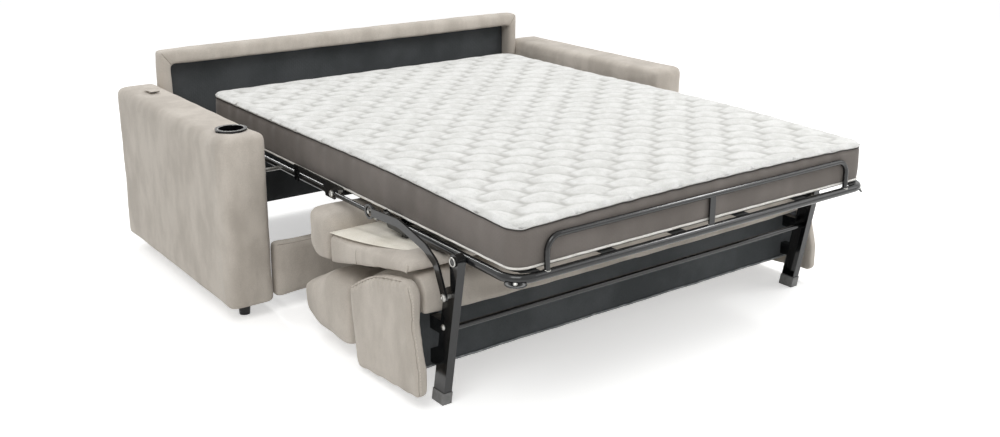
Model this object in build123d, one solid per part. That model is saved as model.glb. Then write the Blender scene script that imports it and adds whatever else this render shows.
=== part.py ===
from build123d import *
import os
from math import cos, radians, sin

# A sofa bed, open as a bed. Millimetres. X is across the sofa, -Y is its front, +Z is up.
# Depths are measured from the rear of the sofa towards the front.
# The origin is on the floor, at the middle of the open bed's box.

os.makedirs("parts", exist_ok=True)

# Mattress
mattress_width = 1400
mattress_length = 1900
mattress_thickness = 138
mattress_corner = 45
head_gap = 197  # rear of the sofa to the head end of the mattress

# Bed frame of round tube with elastic straps
frame_z = 446
frame_gap = 6  # side of the mattress to the axis of a side tube
tube_radius = 12.5
tube_wall = 2
strap_width = 55
strap_thickness = 3
strap_count = 6
foot_tube_gap = 9.5  # foot end of the mattress to the axis of the foot tube
foot_bend = 60
head_overhang = 62  # mattress past the head tube
side_overhang = 10  # side tubes past a cross tube

# Sections of the bed, by their hinges
head_length = 268
middle_length = 775
fold_hinge_rise = 24  # fold hinges above the frame tubes
stack_gap = 8  # between the two mattress layers when folded

# Parallel links that carry the middle section
link_length = 324
link_lean = 7  # degrees forward of upright
link_width = 42
link_thickness = 8
rear_link_reach = 135  # head hinge to the tips of the links
front_link_reach = 335
front_link_gap = 24  # fold links to front links
rear_link_gap = 8  # front links to rear links

# Pins and clearances
pin_radius = 7
running_clearance = 0.05
soft_gap = 0.3
side_gap = 8  # moving upholstery to the inside of the arms
pin_head_radius = 11
pin_head = 3
cut_past = 1  # how far a cut runs past the face that it opens

# Steel plates and fold links
plate_thickness = 6
knuckle_radius = 14
fold_link_radius = 7.5
fold_link_gap = 15.5  # hinge plates to fold links
fold_link_thickness = 16
hinge_plate_length = 70
hinge_weld_length = 30
tube_end_gap = 3  # side tubes to the hinge axis
side_bar = 16
side_plate_length = 320
side_plate_tab = 24  # length of the feet that weld the plate to the tube
side_plate_slope = 14
side_plate_gap = 186  # between those feet
fold_tube_gap = 46  # side tubes to the fold hinge
foot_plate_length = 110

# Arms
arm_width = 160
arm_height = 630
arm_depth = 992
arm_floor_gap = 47
arm_edge = 28
link_arm_gap = 31  # rear links to the base plates on the arms
foot_radius = 22
foot_taper = 4
foot_setback = 87

# Cup holder and pull tab, on the left arm
cup_radius = 39
cup_wall = 5
cup_depth = 70
cup_floor = 4
cup_rim = 7
cup_rim_height = 3
cup_setback = 99
tab_depth = 190
tab_length = 62
tab_width = 37
tab_thickness = 4
tab_inset = 82  # tab's middle from the inside of the arm

# Back between the arms
back_height = 750
back_thickness = 75
back_rail_height = 55
stile_width = 43
back_edge = 14
panel_setback = 3
panel_thickness = 5
panel_floor_gap = 60

# Front plinth between the arms
plinth_setback = 20
plinth_thickness = 54
plinth_floor_gap = 52
plinth_top = 250
plinth_edge = 22

# Base plates inside the arms
base_plate_thickness = 8
base_plate_low = 57
base_rail_height = 45
base_pivot_margin = 34

# Foot rail that stops the mattress
rail_radius = 8
rail_top = 547
rail_inset = 98  # ends of the rail from the sides of the mattress
rail_bend = 42
strut_width = 22
strut_thickness = 5

# Legs of folded sheet, which also carry the back
leg_gap = 3.5  # side tubes to legs
leg_depth = 26
leg_sheet = 3
leg_reach = 388.4  # foot hinge to the pivot of the legs
leg_boss = 15
leg_knuckle = 20
leg_foot_front_run = 56
leg_foot_rear_run = 108
leg_ear_front_run = 18
leg_ear_rear_run = 54
leg_ear_low = 325
leg_ear_high = 372
leg_ear_bevel = 12
cap_height = 38
cap_lip = 2
cross_tube_radius = 9
cross_tube_z = 235
cross_tube_inset = 26
bracket_height = 40
bracket_low_z = 112

# Curved levers that turn the legs
lever_gap = 15  # legs to levers
lever_thickness = 6
lever_pin_radius = 6
lever_pin_run = 19
lever_pin_z = 343
lever_width = 24
lever_eye = 16
lever_eye_rim = 7
crank_back = 20
crank_rise = 11
crank_rim = 3
crank_end = 2
lever_shin = (39, 85)  # bends of a lever, as (depth, height) from its pin
lever_knee = (91, 115)
lever_thigh = (225, 147)
lever_bends = (50, 60, 150)

# Seat, upside down under the foot section and lower at its front edge
seat_board_thickness = 12
seat_board_inset = 36
seat_front_run = 691
seat_rear_run = 96
seat_fall = 60
seat_nose = 125  # front of the seat to the lowest part of its underside
seat_front_thickness = 98
seat_chin = 42
seat_chin_drop = 8
seat_edge = 16
seat_tail_edge = 4
seat_clear = 14  # between the seat and the back under it
seat_bracket_length = 30
seat_bracket_width = 12
seat_bracket_runs = (306, 156)
roll_length = 130
roll_top = 447
roll_edge = 22

# Back of the seat, hanging from the legs
board_run = 122
board_thickness = 12
board_low = 95
board_high = 266
wing_width = 35
cushion_draw_in = 14  # how much a cushion's ends are drawn in
cushion_round = 30  # length of the rounded end of a cushion
back_rear_run = 431  # the back's arched top runs from its rear over a swell and a crest to its brow
back_rear_z = 262
back_swell_run = 284
back_swell_z = 343
back_crest_run = 122
back_crest_z = 381
back_temple_run = 81
back_temple_z = 367
back_brow_run = 68
back_brow_z = 334
back_band_run = 71  # front of the band above the lining
back_nape_z = 199
back_heel_run = 391
back_heel_z = 130
back_heel_rise = 17
wing_waist_run = 74
wing_waist_z = 250
wing_toe_run = 42
wing_toe_z = 130
wing_toe_low = 40
wing_heel_run = 400
wing_heel_z = 10
wing_round = 60
wing_corner = 26
head_roll_length = 322
head_roll_low = 62
head_roll_front_low = 104
head_roll_front_high = 168
head_roll_high = 260
head_roll_belly = 118  # front of the head roll to its lower edge
head_roll_brow = 186  # front of the head roll to its upper edge
head_roll_edge = 26

# Values worked out from those above
mattress_bottom = frame_z + tube_radius + strap_thickness + soft_gap
mattress_top = mattress_bottom + mattress_thickness
frame_half = mattress_width / 2 + frame_gap
head_hinge = head_gap + head_length
fold_hinge = head_hinge + middle_length
fold_z = frame_z + fold_hinge_rise
fold_length = 2 * (mattress_top - fold_z) + stack_gap
foot_hinge = fold_hinge + fold_length
leg_pivot_depth = foot_hinge + leg_reach
mattress_end = head_gap + mattress_length
foot_tube_depth = mattress_end + foot_tube_gap
overall_depth = foot_tube_depth + tube_radius
depth_mid = overall_depth / 2

link_run = link_length * sin(radians(link_lean))
link_rise = link_length * cos(radians(link_lean))
fold_travel = link_run + link_rise
base_pivot_z = frame_z - link_rise
rear_link_tip = head_hinge + rear_link_reach
front_link_tip = head_hinge + front_link_reach

frame_side = frame_half + tube_radius
plate_outer = frame_side + plate_thickness
fold_link_half = plate_outer + fold_link_gap
fold_outer = fold_link_half + fold_link_thickness
front_link_half = fold_outer + front_link_gap
rear_link_half = front_link_half + link_thickness + rear_link_gap
inner_half = rear_link_half + link_thickness + link_arm_gap + base_plate_thickness
soft_half = inner_half - side_gap
rail_half = mattress_width / 2 - rail_inset
plinth_front = arm_depth - plinth_setback
leg_half = frame_side + leg_gap
leg_outer = leg_half + leg_depth
lever_half = leg_outer + lever_gap
lever_outer = lever_half + lever_thickness
head_clear = mattress_top - frame_z + stack_gap / 4
strap_z = frame_z + tube_radius

# Depths of what hangs from the legs, which are given behind the pivot of the legs
leg_foot_front = leg_pivot_depth - leg_foot_front_run
leg_foot_rear = leg_pivot_depth - leg_foot_rear_run
leg_ear_front = leg_pivot_depth - leg_ear_front_run
leg_ear_rear = leg_pivot_depth - leg_ear_rear_run
lever_pin_depth = leg_pivot_depth - lever_pin_run
board_depth = leg_pivot_depth - board_run
back_rear_depth = leg_pivot_depth - back_rear_run
back_swell_depth = leg_pivot_depth - back_swell_run
back_crest_depth = leg_pivot_depth - back_crest_run
back_temple_depth = leg_pivot_depth - back_temple_run
back_brow_depth = leg_pivot_depth - back_brow_run
back_band_depth = leg_pivot_depth - back_band_run
back_heel_depth = leg_pivot_depth - back_heel_run
wing_waist_depth = leg_pivot_depth - wing_waist_run
wing_toe_depth = leg_pivot_depth - wing_toe_run
wing_heel_depth = leg_pivot_depth - wing_heel_run
seat_front = leg_pivot_depth - seat_front_run
seat_rear = leg_pivot_depth - seat_rear_run

leg_slope = (leg_pivot_depth + leg_knuckle - leg_foot_front) / (frame_z - cap_height)
leg_rear_slope = (leg_ear_rear - leg_foot_rear) / (leg_ear_low - cap_height)
cross_tube_depth = leg_foot_front + leg_slope * (cross_tube_z - cap_height) - cross_tube_inset

nodes = {}


def spot(x, depth, z):
    """A point given by its depth from the rear of the sofa."""
    return Vector(x, depth_mid - depth, z)


def slab(x0, x1, depth0, depth1, z0, z1):
    """A box between two corners."""
    middle = spot((x0 + x1) / 2, (depth0 + depth1) / 2, (z0 + z1) / 2)
    return Pos(middle) * Box(abs(x1 - x0), abs(depth1 - depth0), abs(z1 - z0))


def rod(start, end, radius, wall=0):
    """A straight round bar, or a tube when it has a wall."""
    run = end - start
    section = Circle(radius)
    if wall:
        section -= Circle(radius - wall)
    return extrude(Plane(origin=start, z_dir=run) * section, run.length)


def pin(x0, x1, depth, z, radius=pin_radius):
    """A round bar across the sofa."""
    return rod(spot(x0, depth, z), spot(x1, depth, z), radius)


def bore(x0, x1, depth, z, radius=pin_radius):
    """A round cutter across the sofa, which runs past both faces."""
    return pin(x0 - cut_past, x1 + cut_past, depth, z, radius)


def side_plane(x):
    """The plane of a side view, at a distance across the sofa."""
    return Plane(origin=(x, depth_mid, 0), x_dir=(0, -1, 0), z_dir=(-1, 0, 0))


def outline(points, radius=0):
    """A closed side outline of (depth, height) points with rounded corners."""
    face = make_face(Polyline(*points, close=True))
    if radius:
        face = fillet(face.vertices(), radius)
    return face


def plate(face, x0, x1):
    """A side outline as a plate between two distances across the sofa."""
    return extrude(side_plane(x1) * face, x1 - x0)


def cushion(face, half_width):
    """A stuffed form with a side outline, drawn in at its two ends."""
    stations = [
        (-half_width, cushion_draw_in),
        (-half_width + cushion_round, cushion_draw_in / 6),
        (0, 0),
        (half_width - cushion_round, cushion_draw_in / 6),
        (half_width, cushion_draw_in),
    ]
    box = face.bounding_box()
    sections = []
    for x, inset in stations:
        shrink = (1 - 2 * inset / box.size.X, 1 - 2 * inset / box.size.Y, 1)
        sections.append(side_plane(x) * scale(face, shrink, about=box.center()))
    return loft(sections, ruled=True)


def pair(solid):
    """A piece of the right side and its mirror image on the left."""
    return [solid, mirror(solid, about=Plane.YZ)]


def soft_box(x0, x1, depth0, depth1, z0, z1, radius):
    """An upholstered box with every edge rounded but those underneath."""
    body = slab(x0, x1, depth0, depth1, z0, z1)
    low = body.edges().group_by(Axis.Z)[0]
    return fillet([edge for edge in body.edges() if edge not in low], radius)


def keep(name, *solids):
    """Store the solids of one named piece."""
    nodes[name] = list(solids)


# Arms, with the cup holder's hole in the left one
arm_outer = inner_half + arm_width
arm_middle = inner_half + arm_width / 2
right_arm = soft_box(inner_half, arm_outer, 0, arm_depth, arm_floor_gap, arm_height, arm_edge)
left_arm = mirror(right_arm, about=Plane.YZ)
cup_outer = cup_radius + cup_wall
cup_spot = spot(-arm_middle, arm_depth - cup_setback, arm_height)
cup_hole = Pos(cup_spot) * Cylinder(cup_outer + soft_gap, 2 * (cup_depth + cup_floor))
keep("arm_left", left_arm - cup_hole)
keep("arm_right", right_arm)

foot_depths = [foot_setback, arm_depth / 2, arm_depth - foot_setback]
feet = []
for side in (-1, 1):
    for depth in foot_depths:
        middle = spot(side * arm_middle, depth, arm_floor_gap / 2)
        feet.append(Pos(middle) * Cone(foot_radius - foot_taper, foot_radius, arm_floor_gap))
keep("arm_feet", *feet)

cup_section = make_face(Polyline(
    (0, -cup_depth - cup_floor),
    (cup_outer, -cup_depth - cup_floor),
    (cup_outer, 0),
    (cup_outer + cup_rim, 0),
    (cup_outer + cup_rim, cup_rim_height),
    (cup_radius, cup_rim_height),
    (cup_radius, -cup_depth),
    (0, -cup_depth),
    close=True,
))
keep("cup_holder", Pos(cup_spot) * revolve(Plane.XZ * cup_section, Axis.Z))

tab_x = -inner_half - tab_inset
tab = slab(tab_x - tab_width / 2, tab_x + tab_width / 2, tab_depth - tab_length / 2,
           tab_depth + tab_length / 2, arm_height, arm_height + tab_thickness)
keep("arm_pull_tab", fillet(tab.edges().filter_by(Axis.Z), tab_thickness))

# Back frame and its panel
rail_low = back_height - back_rail_height
keep("back_top_rail", soft_box(-inner_half, inner_half, 0, back_thickness, rail_low, back_height,
                               back_edge))
stile = slab(inner_half - stile_width, inner_half, 0, back_thickness, arm_floor_gap, rail_low)
stile = fillet(stile.faces().sort_by(Axis.Y)[0].edges().filter_by(Axis.Z), back_edge)
keep("back_stiles", *pair(stile))
panel_half = inner_half - stile_width
keep("back_panel", slab(-panel_half, panel_half, panel_setback, panel_setback + panel_thickness,
                        panel_floor_gap, rail_low))

# Plinth
keep("plinth", soft_box(-inner_half, inner_half, plinth_front - plinth_thickness, plinth_front,
                        plinth_floor_gap, plinth_top, plinth_edge))

# Base plates with the links' pins
base_rear = back_thickness
base_front = plinth_front - plinth_thickness
rear_pivot = rear_link_tip - link_run
front_pivot = front_link_tip - link_run
base_high = base_plate_low + base_rail_height
base_face = outline([
    (base_rear, base_plate_low),
    (base_front, base_plate_low),
    (base_front, base_high),
    (front_pivot + 2 * base_pivot_margin, base_high),
    (front_pivot + base_pivot_margin, base_pivot_z + base_pivot_margin),
    (rear_pivot - base_pivot_margin, base_pivot_z + base_pivot_margin),
    (rear_pivot - 2 * base_pivot_margin, base_high),
    (base_rear, base_high),
])
base_inner = inner_half - base_plate_thickness
base_plate = plate(base_face, base_inner, inner_half)
base_pins = []
for pivot, link_half in ((rear_pivot, rear_link_half), (front_pivot, front_link_half)):
    base_plate -= bore(base_inner, inner_half, pivot, base_pivot_z)
    shank = pin(link_half - pin_head, inner_half, pivot, base_pivot_z)
    head = pin(link_half - 2 * pin_head, link_half - pin_head, pivot, base_pivot_z, pin_head_radius)
    base_pins += pair(shank + head)
keep("base_plates", *pair(base_plate))
keep("base_pivot_pins", *base_pins)


def link(tip, half):
    """A flat link with round ends, from its base pivot to the middle section."""
    low = (tip - link_run, base_pivot_z)
    high = (tip, frame_z)
    face = SlotCenterToCenter(link_length, link_width)
    face = Pos((low[0] + high[0]) / 2, (low[1] + high[1]) / 2) * Rot(Z=90 - link_lean) * face
    body = plate(face, half, half + link_thickness)
    for end in (low, high):
        body -= bore(half, half + link_thickness, *end, pin_radius + running_clearance)
    return body


keep("rear_links", *pair(link(rear_link_tip, rear_link_half)))
keep("front_links", *pair(link(front_link_tip, front_link_half)))


def straps(start, end):
    """Elastic straps along the bed between two cross tubes."""
    pitch = 2 * (frame_half - strap_width) / (strap_count - 1)
    bands = []
    for number in range(strap_count):
        x = -frame_half + strap_width + number * pitch
        bands.append(slab(x - strap_width / 2, x + strap_width / 2, start, end, strap_z,
                          strap_z + strap_thickness))
    return bands


def side_tube(start, end):
    """A side tube of the right side."""
    return rod(spot(frame_half, start, frame_z), spot(frame_half, end, frame_z), tube_radius, tube_wall)


def cross_tube(depth):
    """A tube across the bed, cut to sit on the side tubes."""
    half = frame_half
    tube = rod(spot(-half, depth, frame_z), spot(half, depth, frame_z), tube_radius, tube_wall)
    for x in (-half, half):
        tube -= rod(spot(x, depth - 2 * tube_radius, frame_z), spot(x, depth + 2 * tube_radius, frame_z),
                    tube_radius)
    return tube


# Head section
head_end = head_gap + head_overhang
head_tubes_end = head_hinge - tube_radius - tube_end_gap
head_rail = side_tube(head_end - side_overhang, head_tubes_end)
head_cross = [head_end + tube_radius, head_tubes_end - tube_radius - side_overhang]
hinge_pin_x = frame_side + 2 * plate_thickness
head_arm_face = outline([
    (head_hinge - hinge_plate_length, frame_z - tube_radius),
    (head_hinge, frame_z - knuckle_radius),
    (head_hinge, frame_z + knuckle_radius),
    (head_hinge - hinge_plate_length, frame_z + tube_radius),
])
head_arm_face += Pos(head_hinge, frame_z) * Circle(knuckle_radius)
head_arm = plate(head_arm_face, frame_side + plate_thickness + soft_gap, hinge_pin_x + soft_gap)
head_arm += slab(frame_side, hinge_pin_x, head_hinge - hinge_plate_length,
                 head_hinge - hinge_plate_length + hinge_weld_length, frame_z - tube_radius,
                 frame_z + tube_radius)
head_pin_bore = bore(frame_side, hinge_pin_x + plate_thickness, head_hinge, frame_z,
                     pin_radius + running_clearance)
keep("head_side_tubes", *pair(head_rail))
keep("head_cross_tubes", *[cross_tube(depth) for depth in head_cross])
keep("head_straps", *straps(*head_cross))
keep("head_hinge_arms", *pair(head_arm - head_pin_bore))

# Middle section: tubes, long side plates with both hinges, and pins
middle_start = head_hinge + tube_radius + tube_end_gap
middle_end = fold_hinge - fold_tube_gap
middle_cross = [middle_start + 2 * tube_radius, middle_end - 2 * tube_radius]
middle_rail = side_tube(middle_start, middle_end)
link_pins = []
for tip, half in ((rear_link_tip, rear_link_half), (front_link_tip, front_link_half)):
    middle_rail -= pin(frame_half, frame_side + cut_past, tip, frame_z)
    tip_outer = half + link_thickness + soft_gap
    shank = pin(frame_half + tube_radius / 2, tip_outer, tip, frame_z)
    shank -= rod(spot(frame_half, tip - 2 * pin_radius, frame_z),
                 spot(frame_half, tip + 2 * pin_radius, frame_z), tube_radius - tube_wall)
    head = pin(tip_outer, tip_outer + pin_head, tip, frame_z, pin_head_radius)
    link_pins += pair(shank + head)
side_plate_end = fold_hinge - side_plate_length
side_plate_arch = side_plate_end + side_plate_tab + side_plate_slope / 2
side_plate_foot = side_plate_arch + side_plate_gap
side_plate_face = outline([
    (side_plate_end, frame_z - tube_radius),
    (side_plate_end + side_plate_tab, frame_z - tube_radius),
    (side_plate_arch, fold_z),
    (side_plate_foot - side_plate_slope, fold_z),
    (side_plate_foot, frame_z - tube_radius),
    (middle_end, frame_z - tube_radius),
    (middle_end + side_plate_slope, fold_z - knuckle_radius),
    (fold_hinge, fold_z - knuckle_radius),
    (fold_hinge, fold_z + knuckle_radius),
    (side_plate_end, fold_z + side_bar),
])
side_plate_face += Pos(fold_hinge, fold_z) * Circle(knuckle_radius)
side_plate = plate(side_plate_face, frame_side, plate_outer)
fold_pin_outer = fold_link_half + fold_link_thickness + soft_gap
fold_pin = pin(frame_side, fold_pin_outer, fold_hinge, fold_z)
fold_pin += pin(fold_pin_outer, fold_pin_outer + pin_head, fold_hinge, fold_z, pin_head_radius)
side_plate -= bore(frame_side, plate_outer, fold_hinge, fold_z)
head_plate_face = outline([
    (head_hinge, frame_z - knuckle_radius),
    (head_hinge + hinge_plate_length, frame_z - tube_radius),
    (head_hinge + hinge_plate_length, frame_z + tube_radius),
    (head_hinge, frame_z + knuckle_radius),
])
head_plate_face += Pos(head_hinge, frame_z) * Circle(knuckle_radius)
head_plate = plate(head_plate_face, frame_side, plate_outer)
head_plate -= bore(frame_side, plate_outer, head_hinge, frame_z)
head_pin_outer = hinge_pin_x + 2 * soft_gap
head_pin = pin(frame_side, head_pin_outer, head_hinge, frame_z)
head_pin += pin(head_pin_outer, head_pin_outer + pin_head, head_hinge, frame_z, pin_head_radius)
keep("middle_side_tubes", *pair(middle_rail))
keep("middle_cross_tubes", *[cross_tube(depth) for depth in middle_cross])
keep("middle_straps", *straps(*middle_cross))
keep("middle_side_plates", *pair(side_plate))
keep("head_hinge_plates", *pair(head_plate))
keep("head_hinge_pins", *pair(head_pin))
keep("link_pins", *link_pins)
keep("fold_pins", *pair(fold_pin))

# Fold links between the middle and the foot section, with their crank pins
fold_x = fold_link_half + fold_link_thickness / 2
fold_link = rod(spot(fold_x, fold_hinge, fold_z), spot(fold_x, foot_hinge, fold_z), fold_link_radius)
for depth in (fold_hinge, foot_hinge):
    fold_link += pin(fold_link_half, fold_outer, depth, fold_z, knuckle_radius)
for depth in (fold_hinge, foot_hinge):
    fold_link -= bore(fold_link_half, fold_outer, depth, fold_z, pin_radius + running_clearance)
crank_depth = foot_hinge - crank_back
crank_z = fold_z + crank_rise
crank_web = plate(Pos(crank_depth, crank_z) * Circle(lever_pin_radius + crank_rim),
                  fold_outer - plate_thickness, fold_outer)
crank_web -= bore(fold_link_half, fold_outer, foot_hinge, fold_z, pin_radius + running_clearance)
crank = pin(fold_outer, lever_outer + crank_end, crank_depth, crank_z, lever_pin_radius)
keep("fold_links", *pair(fold_link + crank_web))
keep("crank_pins", *pair(crank))

# Foot section: tubes, hinge plates, pins
foot_start = foot_hinge + tube_radius
foot_bend_start = foot_tube_depth - foot_bend - side_overhang
foot_rail_tube = side_tube(foot_start, foot_bend_start)
foot_rail_tube -= pin(frame_half, frame_side + cut_past, leg_pivot_depth, frame_z)
foot_path = FilletPolyline(
    spot(-frame_half, foot_bend_start, frame_z),
    spot(-frame_half, foot_tube_depth, frame_z),
    spot(frame_half, foot_tube_depth, frame_z),
    spot(frame_half, foot_bend_start, frame_z),
    radius=foot_bend,
)
tube_section = Circle(tube_radius) - Circle(tube_radius - tube_wall)
foot_tube = sweep(Plane(origin=foot_path @ 0, z_dir=foot_path % 0) * tube_section, foot_path)
foot_cross = foot_start + 2 * tube_radius
foot_plate_face = outline([
    (foot_hinge, fold_z - knuckle_radius),
    (foot_start, frame_z - tube_radius),
    (foot_hinge + foot_plate_length, frame_z - tube_radius),
    (foot_hinge + foot_plate_length - side_plate_slope, frame_z + tube_radius),
    (foot_hinge, fold_z + knuckle_radius),
])
foot_plate_face += Pos(foot_hinge, fold_z) * Circle(knuckle_radius)
foot_plate = plate(foot_plate_face, frame_side, plate_outer)
foot_plate -= bore(frame_side, plate_outer, foot_hinge, fold_z)
foot_pin_outer = fold_outer + soft_gap
foot_pin = pin(frame_side, foot_pin_outer, foot_hinge, fold_z)
foot_pin += pin(foot_pin_outer, foot_pin_outer + pin_head, foot_hinge, fold_z, pin_head_radius)
leg_pin = pin(frame_half + tube_radius / 2, leg_outer + soft_gap, leg_pivot_depth, frame_z)
leg_pin -= rod(spot(frame_half, leg_pivot_depth - 2 * pin_radius, frame_z),
               spot(frame_half, leg_pivot_depth + 2 * pin_radius, frame_z), tube_radius - tube_wall)
leg_pin += pin(leg_outer + soft_gap, leg_outer + soft_gap + pin_head, leg_pivot_depth, frame_z,
               pin_head_radius)
keep("foot_side_tubes", *pair(foot_rail_tube))
keep("foot_end_tube", foot_tube)
keep("foot_cross_tube", cross_tube(foot_cross))
keep("foot_straps", *straps(foot_cross, foot_tube_depth))
keep("foot_hinge_plates", *pair(foot_plate))
keep("foot_hinge_pins", *pair(foot_pin))
keep("leg_pivot_pins", *pair(leg_pin))

# Foot rail: bent top tube, posts coped onto the foot tube, flat strut
post_top = rail_top - rail_bend - rail_radius
rail_path = FilletPolyline(
    spot(-rail_half, foot_tube_depth, post_top),
    spot(-rail_half, foot_tube_depth, rail_top),
    spot(rail_half, foot_tube_depth, rail_top),
    spot(rail_half, foot_tube_depth, post_top),
    radius=rail_bend,
)
foot_rail = sweep(Plane(origin=rail_path @ 0, z_dir=rail_path % 0) * Circle(rail_radius), rail_path)
cope = rod(spot(-frame_half, foot_tube_depth, frame_z), spot(frame_half, foot_tube_depth, frame_z),
           tube_radius)
post = rod(spot(rail_half, foot_tube_depth, frame_z), spot(rail_half, foot_tube_depth, post_top),
           rail_radius) - cope
strut = slab(-strut_width / 2, strut_width / 2, foot_tube_depth - strut_thickness / 2,
             foot_tube_depth + strut_thickness / 2, frame_z, rail_top)
strut -= cope
strut -= rod(spot(-rail_half, foot_tube_depth, rail_top), spot(rail_half, foot_tube_depth, rail_top),
             rail_radius)
keep("foot_rail", foot_rail)
keep("foot_rail_posts", *pair(post))
keep("foot_rail_strut", strut)

# Seat under the foot section
seat_high = frame_z - tube_radius - soft_gap
seat_slope = seat_fall / (seat_rear - seat_front)


def seat_top(depth):
    """Height of the seat's lined side at a depth."""
    return seat_high - seat_slope * (seat_rear - depth)


board_start = seat_front + roll_length + soft_gap
board_end = seat_rear - seat_board_inset
seat_board_face = outline([
    (board_start, seat_top(board_start)),
    (board_end, seat_top(board_end)),
    (board_end, seat_top(board_end) - seat_board_thickness),
    (board_start, seat_top(board_start) - seat_board_thickness),
])
seat_board_half = soft_half - seat_board_inset
keep("seat_board", plate(seat_board_face, -seat_board_half, seat_board_half))
seat_nose_point = (seat_front + seat_nose, seat_top(seat_front) - seat_front_thickness + seat_chin_drop)
seat_tail = (back_crest_depth, back_crest_z + seat_clear)
seat_under = ThreePointArc(seat_nose_point, (back_swell_depth, back_swell_z + seat_clear), seat_tail)
seat_rim = FilletPolyline(
    seat_tail,
    (seat_rear, seat_tail[1] + seat_slope * (seat_rear - back_crest_depth)),
    (seat_rear, seat_high),
    (seat_front, seat_top(seat_front)),
    (seat_front, seat_nose_point[1] - seat_chin_drop + seat_chin),
    (seat_front + seat_chin, seat_nose_point[1] - seat_chin_drop),
    seat_nose_point,
    radius=[seat_tail_edge, seat_tail_edge, seat_edge, seat_edge, seat_edge],
)
seat_cushion = cushion(make_face([seat_under, *seat_rim.edges()]), soft_half)
recess_face = outline([
    (board_start - soft_gap, seat_top(board_start) + seat_chin),
    (board_end + soft_gap, seat_top(board_end) + seat_chin),
    (board_end + soft_gap, seat_top(board_end) - seat_board_thickness - soft_gap),
    (board_start - soft_gap, seat_top(board_start) - seat_board_thickness - soft_gap),
])
seat_cushion -= plate(recess_face, -seat_board_half - soft_gap, seat_board_half + soft_gap)
keep("seat_cushion", seat_cushion)
roll_face = outline([
    (seat_front, seat_top(seat_front) + soft_gap),
    (seat_front + roll_length, seat_top(seat_front + roll_length) + soft_gap),
    (seat_front + roll_length, roll_top),
    (seat_front, roll_top),
], roll_edge)
keep("seat_front_roll", cushion(roll_face, soft_half))
seat_brackets = []
for run in seat_bracket_runs:
    rear = leg_pivot_depth - run - seat_bracket_length / 2
    front = rear + seat_bracket_length
    face = outline([
        (rear, seat_top(rear) + soft_gap),
        (front, seat_top(front) + soft_gap),
        (front, frame_z),
        (rear, frame_z),
    ])
    bracket = plate(face, frame_half - seat_bracket_width / 2, frame_half + seat_bracket_width / 2)
    bracket -= rod(spot(frame_half, rear - cut_past, frame_z), spot(frame_half, front + cut_past, frame_z),
                   tube_radius)
    seat_brackets += pair(bracket)
keep("seat_brackets", *seat_brackets)

# Legs, their caps and what joins them
leg_face = outline([
    (leg_pivot_depth + leg_knuckle, frame_z),
    (leg_foot_front, cap_height),
    (leg_foot_rear, cap_height),
    (leg_ear_rear, leg_ear_low),
    (leg_ear_rear + leg_ear_bevel, leg_ear_high - leg_ear_bevel),
    (leg_ear_front, leg_ear_high),
    (leg_pivot_depth - leg_knuckle, frame_z),
])
leg_face += Pos(leg_pivot_depth, frame_z) * Circle(leg_knuckle)
leg = plate(leg_face, leg_half, leg_outer)
leg -= plate(offset(leg_face, -leg_sheet), leg_half - cut_past, leg_outer - leg_sheet)
leg += pin(leg_half, leg_outer, leg_pivot_depth, frame_z, leg_boss)
leg -= bore(leg_half, leg_outer, leg_pivot_depth, frame_z, pin_radius + running_clearance)
leg -= bore(leg_half, leg_outer, lever_pin_depth, lever_pin_z, lever_pin_radius)
cap_face = outline([
    (leg_foot_front + cap_lip, cap_height),
    (leg_foot_front + cap_lip - leg_slope * cap_height, 0),
    (leg_foot_rear - cap_lip - leg_slope * cap_height, 0),
    (leg_foot_rear - cap_lip, cap_height),
])
cross_half = leg_outer - leg_sheet
lever_pin = pin(leg_outer - leg_sheet, lever_outer + soft_gap, lever_pin_depth, lever_pin_z,
                lever_pin_radius)
lever_pin += pin(lever_outer + soft_gap, lever_outer + pin_head, lever_pin_depth, lever_pin_z,
                 pin_head_radius)
brackets = []
for low in (bracket_low_z, cross_tube_z - bracket_height / 2):
    high = low + bracket_height
    face = outline([
        (board_depth, low),
        (leg_foot_rear + leg_rear_slope * (low - cap_height), low),
        (leg_foot_rear + leg_rear_slope * (high - cap_height), high),
        (board_depth, high),
    ])
    brackets += pair(plate(face, leg_half, leg_outer))
keep("legs", *pair(leg))
keep("leg_caps", *pair(plate(cap_face, leg_half - cap_lip, leg_outer + cap_lip)))
keep("leg_cross_tube", rod(spot(-cross_half, cross_tube_depth, cross_tube_z),
                           spot(cross_half, cross_tube_depth, cross_tube_z), cross_tube_radius, tube_wall))
keep("lever_pins", *pair(lever_pin))
keep("back_brackets", *brackets)

# Levers: a bent flat bar from the leg's ear to an open eye round the crank pin
lever_line = [
    (lever_pin_depth, lever_pin_z),
    (lever_pin_depth - lever_shin[0], lever_pin_z + lever_shin[1]),
    (lever_pin_depth - lever_knee[0], lever_pin_z + lever_knee[1]),
    (lever_pin_depth - lever_thigh[0], lever_pin_z + lever_thigh[1]),
    (crank_depth, crank_z),
]
lever_path = FilletPolyline(*lever_line, radius=lever_bends)
lever_face = trace(lever_path, lever_width)
lever_face += Pos(*lever_line[0]) * Circle(lever_width / 2)
lever_face += Pos(*lever_line[-1]) * Circle(lever_eye + lever_eye_rim)
lever_face -= Pos(*lever_line[-1]) * Circle(lever_eye)
lever = plate(lever_face, lever_half, lever_outer)
lever -= bore(lever_half, lever_outer, lever_pin_depth, lever_pin_z, lever_pin_radius + running_clearance)
keep("levers", *pair(lever))

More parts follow.
